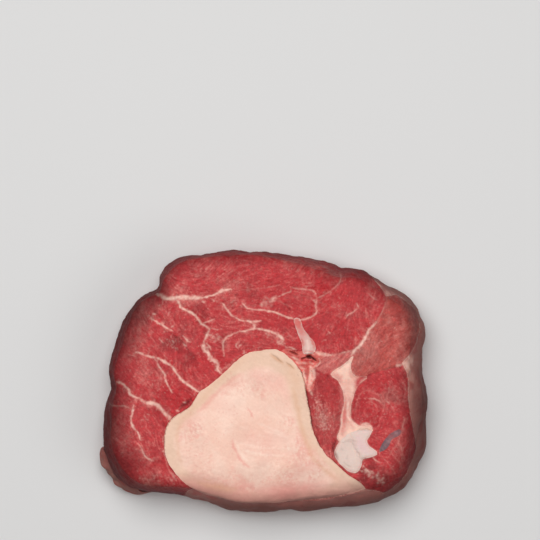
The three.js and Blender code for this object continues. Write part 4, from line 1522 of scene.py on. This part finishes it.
def hidden_sides(outlines, border, feet):
    """Triangles from the border corners down to the corners at their feet."""
    sides, start = [], 0
    for outline in outlines:
        ring = np.arange(len(outline)) + start
        for here, after in zip(ring, np.roll(ring, -1)):
            high, high_after, low, low_after = border[here], border[after], feet[here], feet[after]
            if low_after not in (high, high_after):
                sides.append((high_after, high, low_after))
            if low != low_after and high != low:
                sides.append((high, low, low_after))
        start += len(outline)
    return np.array(sides)


def piece_mesh(name):
    """A closed fine mesh for a node: its share of the skin, its hidden sides and its underside."""
    outlines = OUTLINES[name]
    around = sum(len(outline) for outline in outlines)
    flat, source, faces = triangulated(outlines, inner_points(outlines))
    places, normals = on_skin(flat)
    lift = LIFT.get(name, 0.0) * smoothstep(*LIFT_FADE, outline_inset(flat))
    dip = np.where(source < around, EDGE_DIP if name in MUSCLES else 0.0, 0.0)
    rise = read_map(RELIEF, flat) + lift - dip * (1 - wall_share(flat))
    places = places + normals * rise[:, None]
    places[:, 2] = np.maximum(places[:, 2], 0.0)
    border = [np.nonzero(source == number)[0][0] for number in range(around)]
    base, base_faces, feet = underside(outlines, border, len(places))
    triangles = np.vstack([faces, hidden_sides(outlines, border, feet), base_faces])
    return np.vstack([places, base]), np.vstack([flat, base[:, :2]]), triangles


def foot_of(points):
    """The place on the lower cut face that belongs to each place on the map."""
    turn = turned(points)
    reach = np.hypot(*points.T)
    base = by_direction(BASE_REACH, turn)
    upright = UPRIGHT * base
    leaning = upright + (base - upright) * (reach - upright) / (map_reach(turn) - upright)
    foot = np.where(reach > upright, leaning, reach)
    return points * (foot / np.maximum(reach, TINY))[:, None]


def underside(outlines, border, offset):
    """The lower cut face: its points and faces, and the corner at the foot of each border corner."""
    rings, owners, feet, kept = [], [], [], 0
    for outline in outlines:
        foot = foot_of(outline)
        at_base = wall_share(outline) > AT_BASE
        ring = []
        for number, point in enumerate(foot):
            if not ring or at_base[number] or np.linalg.norm(point - ring[-1]) > NEAR_FOOT:
                ring.append(point)
                owners.append(border[len(feet)] if at_base[number] else -1)
                kept += 1
            feet.append(kept - 1)
        rings.append(np.array(ring))
    flat, source, faces = triangulated(rings, lattice(rings, BASE_STEP))
    corner_of = np.arange(len(flat)) + offset
    place_of = np.empty(kept, int)
    for number, origin in enumerate(source):
        if 0 <= origin < kept:
            if owners[origin] >= 0:
                corner_of[number] = owners[origin]
            place_of[origin] = corner_of[number]
    base = np.column_stack([flat, np.zeros(len(flat))])
    return base, corner_of[faces[:, ::-1]], place_of[feet]


def carry(mesh, values):
    """Gives a mesh smooth shading and the values that its material reads."""
    for key, value in values.items():
        layer = mesh.attributes.new(key, "FLOAT", "POINT")
        layer.data.foreach_set("value", value.astype(np.float32))
    mesh.shade_smooth()


def add_mesh(name, corners, triangles, values):
    """A mesh object in metres that carries the values read from the map."""
    mesh = bpy.data.meshes.new(name)
    mesh.from_pydata(corners * MM, [], triangles.tolist())
    carry(mesh, values)
    mesh.set_sharp_from_angle(angle=math.radians(SHARP_DEG))
    piece = bpy.data.objects.new(name, mesh)
    bpy.context.scene.collection.objects.link(piece)
    return piece


def finish_piece(piece, node):
    """Puts a piece in its node's place, with its finish."""
    piece.data.materials.append(MATERIALS[SLOTS[node]])
    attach(piece, "root")
    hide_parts(node)


def remeshed_flap():
    """The loose flap of fat, finely and evenly meshed, with its edges softened."""
    piece = frame["nodes"]["fat_flap"].copy()
    piece.data = piece.data.copy()
    piece.name = "shown_fat_flap"
    for key in [key for key in piece.keys() if key.startswith("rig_")]:
        del piece[key]
    piece.parent = None
    bpy.context.scene.collection.objects.link(piece)
    piece.data.materials.clear()
    remesh = piece.modifiers.new("remesh", "REMESH")
    remesh.mode = "VOXEL"
    remesh.voxel_size = FLAP_VOXEL * MM
    smooth = piece.modifiers.new("smooth", "SMOOTH")
    smooth.factor = FLAP_SMOOTHING
    smooth.iterations = FLAP_SMOOTHINGS
    shown = piece.evaluated_get(bpy.context.evaluated_depsgraph_get())
    mesh = bpy.data.meshes.new_from_object(shown)
    piece.modifiers.clear()
    piece.data = mesh
    return piece


def flap_piece():
    """The loose flap of fat, roughened, redder than other fat, and dim with painted shadow that is lighter
    low down.
    """
    piece = remeshed_flap()
    mesh = piece.data
    corners = np.empty(len(mesh.vertices) * 3)
    mesh.vertices.foreach_get("co", corners)
    corners = corners.reshape(-1, 3) / MM
    lumps = read_map(blots("flap_lumps"), corners[:, :2] + corners[:, 2:] * FLAP_LUMPS_SLANT)
    outwards = corners[:, :2] / np.hypot(*corners[:, :2].T)[:, None]
    corners[:, :2] += outwards * (FLAP_LUMPS_OUT * lumps)[:, None]
    raised = corners[:, 2] + FLAP_LUMPS_UP * lumps * smoothstep(*FLAP_LUMPS_FADE, corners[:, 2])
    corners[:, 2] = np.maximum(raised, 0.0)
    mesh.vertices.foreach_set("co", (corners * MM).ravel())
    tint = read_map(blots("flap_tint"), corners[:, :2] + corners[:, 2:])
    low_down = 1 - smoothstep(*FLAP_LIT_BELOW, corners[:, 2])
    none = np.zeros(len(corners))
    pale, light, blush = (own + more * tint for own, more in (FLAP_PALE, FLAP_LIGHT, FLAP_BLUSH))
    carry(mesh, {
        "fat": none,
        "pale": pale,
        "shade": light + FLAP_LIT_MORE * low_down,
        "blush": blush,
        "rim": none,
        "grain": lumps,
    })
    return piece


# The materials

# How fine the textures are, in repeats to a metre
SPECKLE_SCALE = 2600
CLOUD_SCALE = 420
CELL_SCALE = 1100

# How much the textures change the colour, as shares of a tissue's grain, and the roughness
SPECKLE_PALE = 4
SPECKLE_TONE = 2
CLOUD_TONE = 1.5
CLOUD_ROUGH = 0.3
SHADE_ROUGH = 0.35

# What the bump is made of, and its height in metres
CELL_BUMP = 0.6
GRAIN_BUMP = 0.15
BUMP_DISTANCE = 0.0002

SUBSURFACE_RADIUS = (1.0, 0.35, 0.25)
SUBSURFACE_SCALE = 0.0006
SPECULAR = 0.1


def linear(red, green, blue):
    """A colour given as it looks on a screen, from 0 to 255, as the renderer wants it."""
    colour = np.array([red, green, blue]) / 255
    colour = np.where(colour <= 0.04045, colour / 12.92, ((colour + 0.055) / 1.055) ** 2.4)
    return (*colour, 1.0)


class Shading:
    """A new material, with short ways to add nodes to it."""

    def __init__(self, name):
        """Starts with no nodes but the one that gives the place."""
        self.material = bpy.data.materials.new(name)
        self.material.use_nodes = True
        self.nodes = self.material.node_tree.nodes
        self.links = self.material.node_tree.links
        self.nodes.clear()
        self.place = self.add("ShaderNodeTexCoord").outputs["Object"]

    def add(self, kind, inputs=(), **settings):
        """A new node with its settings, its inputs being constants or other nodes' outputs."""
        node = self.nodes.new(kind)
        for key, value in settings.items():
            setattr(node, key, value)
        for key, source in dict(inputs).items():
            if isinstance(source, bpy.types.NodeSocket):
                self.links.new(source, node.inputs[key])
            else:
                node.inputs[key].default_value = source
        return node

    def read(self, key):
        """What the mesh carries under a name."""
        return self.add("ShaderNodeAttribute", attribute_name=key).outputs["Fac"]

    def texture(self, kind, scale, output):
        """One output of a texture over the piece."""
        return self.add(kind, {"Scale": scale, "Vector": self.place}).outputs[output]

    def mixed(self, share, first, second):
        """Two colours mixed by a share."""
        inputs = {"Factor": share, "A": first, "B": second}
        return self.add("ShaderNodeMix", inputs, data_type="RGBA").outputs["Result"]

    def sums(self, operation, *terms):
        """One step of arithmetic."""
        return self.add("ShaderNodeMath", enumerate(terms), operation=operation).outputs["Value"]

    def scaled(self, colour, factor):
        """A colour made lighter or darker by a factor."""
        inputs = {"Vector": colour, "Scale": factor}
        return self.add("ShaderNodeVectorMath", inputs, operation="SCALE").outputs["Vector"]

    def varied(self, value, texture, amount):
        """A value that a texture raises and lowers, by half the amount at most."""
        return self.sums("MULTIPLY_ADD", self.sums("SUBTRACT", texture, 0.5), amount, value)


def tissue(name, base, pale, fat, blush, dark, roughness, grain, bump, subsurface, rim=None):
    """A moist tissue: its own colour, mixed by the map with a pale one, with fat and with blood, and
    darkened by the painted shade towards a dark colour.
    """
    shading = Shading(name)
    speckle = shading.texture("ShaderNodeTexNoise", SPECKLE_SCALE, "Fac")
    cloud = shading.texture("ShaderNodeTexNoise", CLOUD_SCALE, "Fac")
    cells = shading.texture("ShaderNodeTexVoronoi", CELL_SCALE, "Distance")
    if rim:
        base = shading.mixed(shading.read("rim"), base, rim)
    whiter = shading.varied(shading.read("pale"), speckle, SPECKLE_PALE * grain)
    tone = shading.mixed(whiter, base, pale)
    tone = shading.mixed(shading.read("blush"), tone, blush)
    ripple = shading.sums("MULTIPLY_ADD", shading.read("grain"), grain, 1.0)
    ripple = shading.varied(ripple, speckle, SPECKLE_TONE * grain)
    ripple = shading.varied(ripple, cloud, CLOUD_TONE * grain)
    tone = shading.mixed(shading.read("fat"), shading.scaled(tone, ripple), fat)
    # The painted shade that the map carries darkens the tone towards the dark colour
    tone = shading.mixed(shading.read("shade"), dark, tone)
    rough = shading.varied(roughness, cloud, CLOUD_ROUGH)
    in_shade = shading.sums("SUBTRACT", 1.0, shading.read("shade"))
    rough = shading.sums("MULTIPLY_ADD", in_shade, SHADE_ROUGH, rough)
    height = shading.sums("MULTIPLY_ADD", cells, CELL_BUMP, speckle)
    height = shading.sums("MULTIPLY_ADD", shading.read("grain"), GRAIN_BUMP, height)
    raised = shading.add("ShaderNodeBump", {"Strength": bump, "Distance": BUMP_DISTANCE, "Height": height})
    shader = shading.add("ShaderNodeBsdfPrincipled", {
        "Base Color": tone,
        "Roughness": rough,
        "Subsurface Weight": subsurface,
        "Subsurface Radius": SUBSURFACE_RADIUS,
        "Subsurface Scale": SUBSURFACE_SCALE,
        "Specular IOR Level": SPECULAR,
        "Normal": raised.outputs["Normal"],
    })
    shading.add("ShaderNodeOutputMaterial", {"Surface": shader.outputs["BSDF"]})
    return shading.material


FAT_CREAM = linear(240, 194, 178)
RED = linear(181, 55, 58)


def muscle_material(name, red, blood):
    """Muscle of a red, with a deeper red."""
    return tissue(name, base=red, pale=linear(207, 134, 124), fat=FAT_CREAM, blush=blood,
                  dark=linear(44, 14, 15), roughness=0.4, grain=0.12, bump=0.5, subsurface=0.1)


def bone_material(name):
    """Sawn bone: pinkish cream with tan bands, yellower on the dense rim."""
    return tissue(name, base=linear(236, 189, 170), pale=linear(246, 215, 198), fat=linear(216, 163, 128),
                  blush=linear(229, 158, 146), dark=linear(68, 41, 35), rim=linear(227, 190, 166),
                  roughness=0.55, grain=0.02, bump=0.25, subsurface=0.0)


def fat_material():
    """Waxy cream fat, red where the map says that it is like the flesh."""
    return tissue("fat", base=linear(238, 195, 177), pale=linear(242, 206, 190), fat=FAT_CREAM,
                  blush=linear(205, 114, 106), dark=linear(56, 30, 28), rim=RED,
                  roughness=0.42, grain=0.035, bump=0.3, subsurface=0.2)


def tendon_material():
    """Pearly tendon, pink where flesh shows through."""
    return tissue("tendon", base=linear(220, 195, 184), pale=linear(222, 188, 186),
                  fat=linear(240, 216, 204), blush=linear(204, 96, 90), dark=linear(110, 62, 54),
                  roughness=0.34, grain=0.02, bump=0.2, subsurface=0.2)


def grey_tendon_material():
    """The small tendon's grey violet."""
    return tissue("tendon_grey", base=linear(114, 87, 93), pale=linear(150, 112, 115),
                  fat=linear(190, 150, 145), blush=linear(168, 66, 68), dark=linear(60, 34, 36),
                  roughness=0.35, grain=0.05, bump=0.25, subsurface=0.15)


def vessel_material():
    """The soft pink tissue round the cut vessel."""
    return tissue("vessel", base=linear(208, 104, 96), pale=linear(224, 140, 128), fat=linear(240, 190, 174),
                  blush=linear(180, 46, 48), dark=linear(36, 12, 12),
                  roughness=0.3, grain=0.08, bump=0.5, subsurface=0.2)


MATERIALS = {
    "muscle": muscle_material("muscle", RED, linear(178, 38, 44)),
    "muscle_pale": muscle_material("muscle_pale", linear(179, 78, 71), linear(176, 56, 55)),
    "muscle_dark": muscle_material("muscle_dark", linear(172, 56, 57), linear(170, 42, 46)),
    "bone_core": bone_material("bone_core"),
    "bone_wall": bone_material("bone_wall"),
    "fat": fat_material(),
    "tendon": tendon_material(),
    "tendon_grey": grey_tendon_material(),
    "vessel": vessel_material(),
}


# The pieces

for node in SET_IN:
    corners, reads, triangles = piece_mesh(node)
    values = {key: read_map(layer, reads) for key, layer in LAYERS.items()}
    piece = add_mesh("shown_" + node, corners, triangles, values)
    finish_piece(piece, node)
finish_piece(flap_piece(), "fat_flap")


# The stage: a pale floor, soft light, and the camera straight above as in the photograph

FLOOR_HALF = 3.0
FLOOR_COLOUR = (0.66, 0.655, 0.65, 1.0)
FLOOR_ROUGHNESS = 0.8
LENS_MM = 300
SENSOR_MM = 36
# Each light's place and size in metres, and its power in watts
LIGHTS = {
    "key": ((-0.15, 0.3, 1.1), 0.9, 11.8),
    "fill": ((0.6, -0.2, 0.9), 0.8, 2.5),
}
WORLD_COLOUR = (1.0, 0.99, 0.98, 1.0)
WORLD_LIGHT = 0.14


def add_floor():
    """The pale surface that the slice lies on."""
    corners = [(x * FLOOR_HALF, y * FLOOR_HALF, 0.0) for x, y in ((-1, -1), (1, -1), (1, 1), (-1, 1))]
    mesh = bpy.data.meshes.new("floor")
    mesh.from_pydata(corners, [], [(0, 1, 2, 3)])
    floor = bpy.data.objects.new("floor", mesh)
    bpy.context.scene.collection.objects.link(floor)
    material = bpy.data.materials.new("floor")
    material.use_nodes = True
    shader = material.node_tree.nodes["Principled BSDF"]
    shader.inputs["Base Color"].default_value = FLOOR_COLOUR
    shader.inputs["Roughness"].default_value = FLOOR_ROUGHNESS
    mesh.materials.append(material)


def aim(thing, target):
    """Turns a light so that it shines at a place."""
    direction = np.array(target) - np.array(thing.location)
    flat = math.hypot(direction[0], direction[1])
    thing.rotation_euler = (math.atan2(flat, -direction[2]), 0.0, math.atan2(-direction[0], direction[1]))


def add_lights():
    """Two soft lamps, and a faint light from all round."""
    for name, (place, size, power) in LIGHTS.items():
        data = bpy.data.lights.new(name, "AREA")
        data.shape = "DISK"
        data.size = size
        data.energy = power
        lamp = bpy.data.objects.new(name, data)
        lamp.location = place
        aim(lamp, (0.0, 0.0, 0.0))
        bpy.context.scene.collection.objects.link(lamp)
    world = bpy.data.worlds.new("world")
    world.use_nodes = True
    background = world.node_tree.nodes["Background"]
    background.inputs["Color"].default_value = WORLD_COLOUR
    background.inputs["Strength"].default_value = WORLD_LIGHT
    bpy.context.scene.world = world


def add_camera():
    """A camera straight above that frames what the photograph frames."""
    data = bpy.data.cameras.new("camera")
    data.lens = LENS_MM
    data.sensor_width = SENSOR_MM
    camera = bpy.data.objects.new("camera", data)
    middle = from_pixels([(PICTURE_PX / 2, PICTURE_PX / 2)])[0] * MM
    picture = PICTURE_PX * PIXEL_MM * MM
    camera.location = (middle[0], middle[1], FACE_Z * MM + picture * LENS_MM / SENSOR_MM)
    bpy.context.scene.collection.objects.link(camera)
    bpy.context.scene.camera = camera


add_floor()
add_lights()
add_camera()
bpy.context.scene.view_settings.view_transform = "Standard"
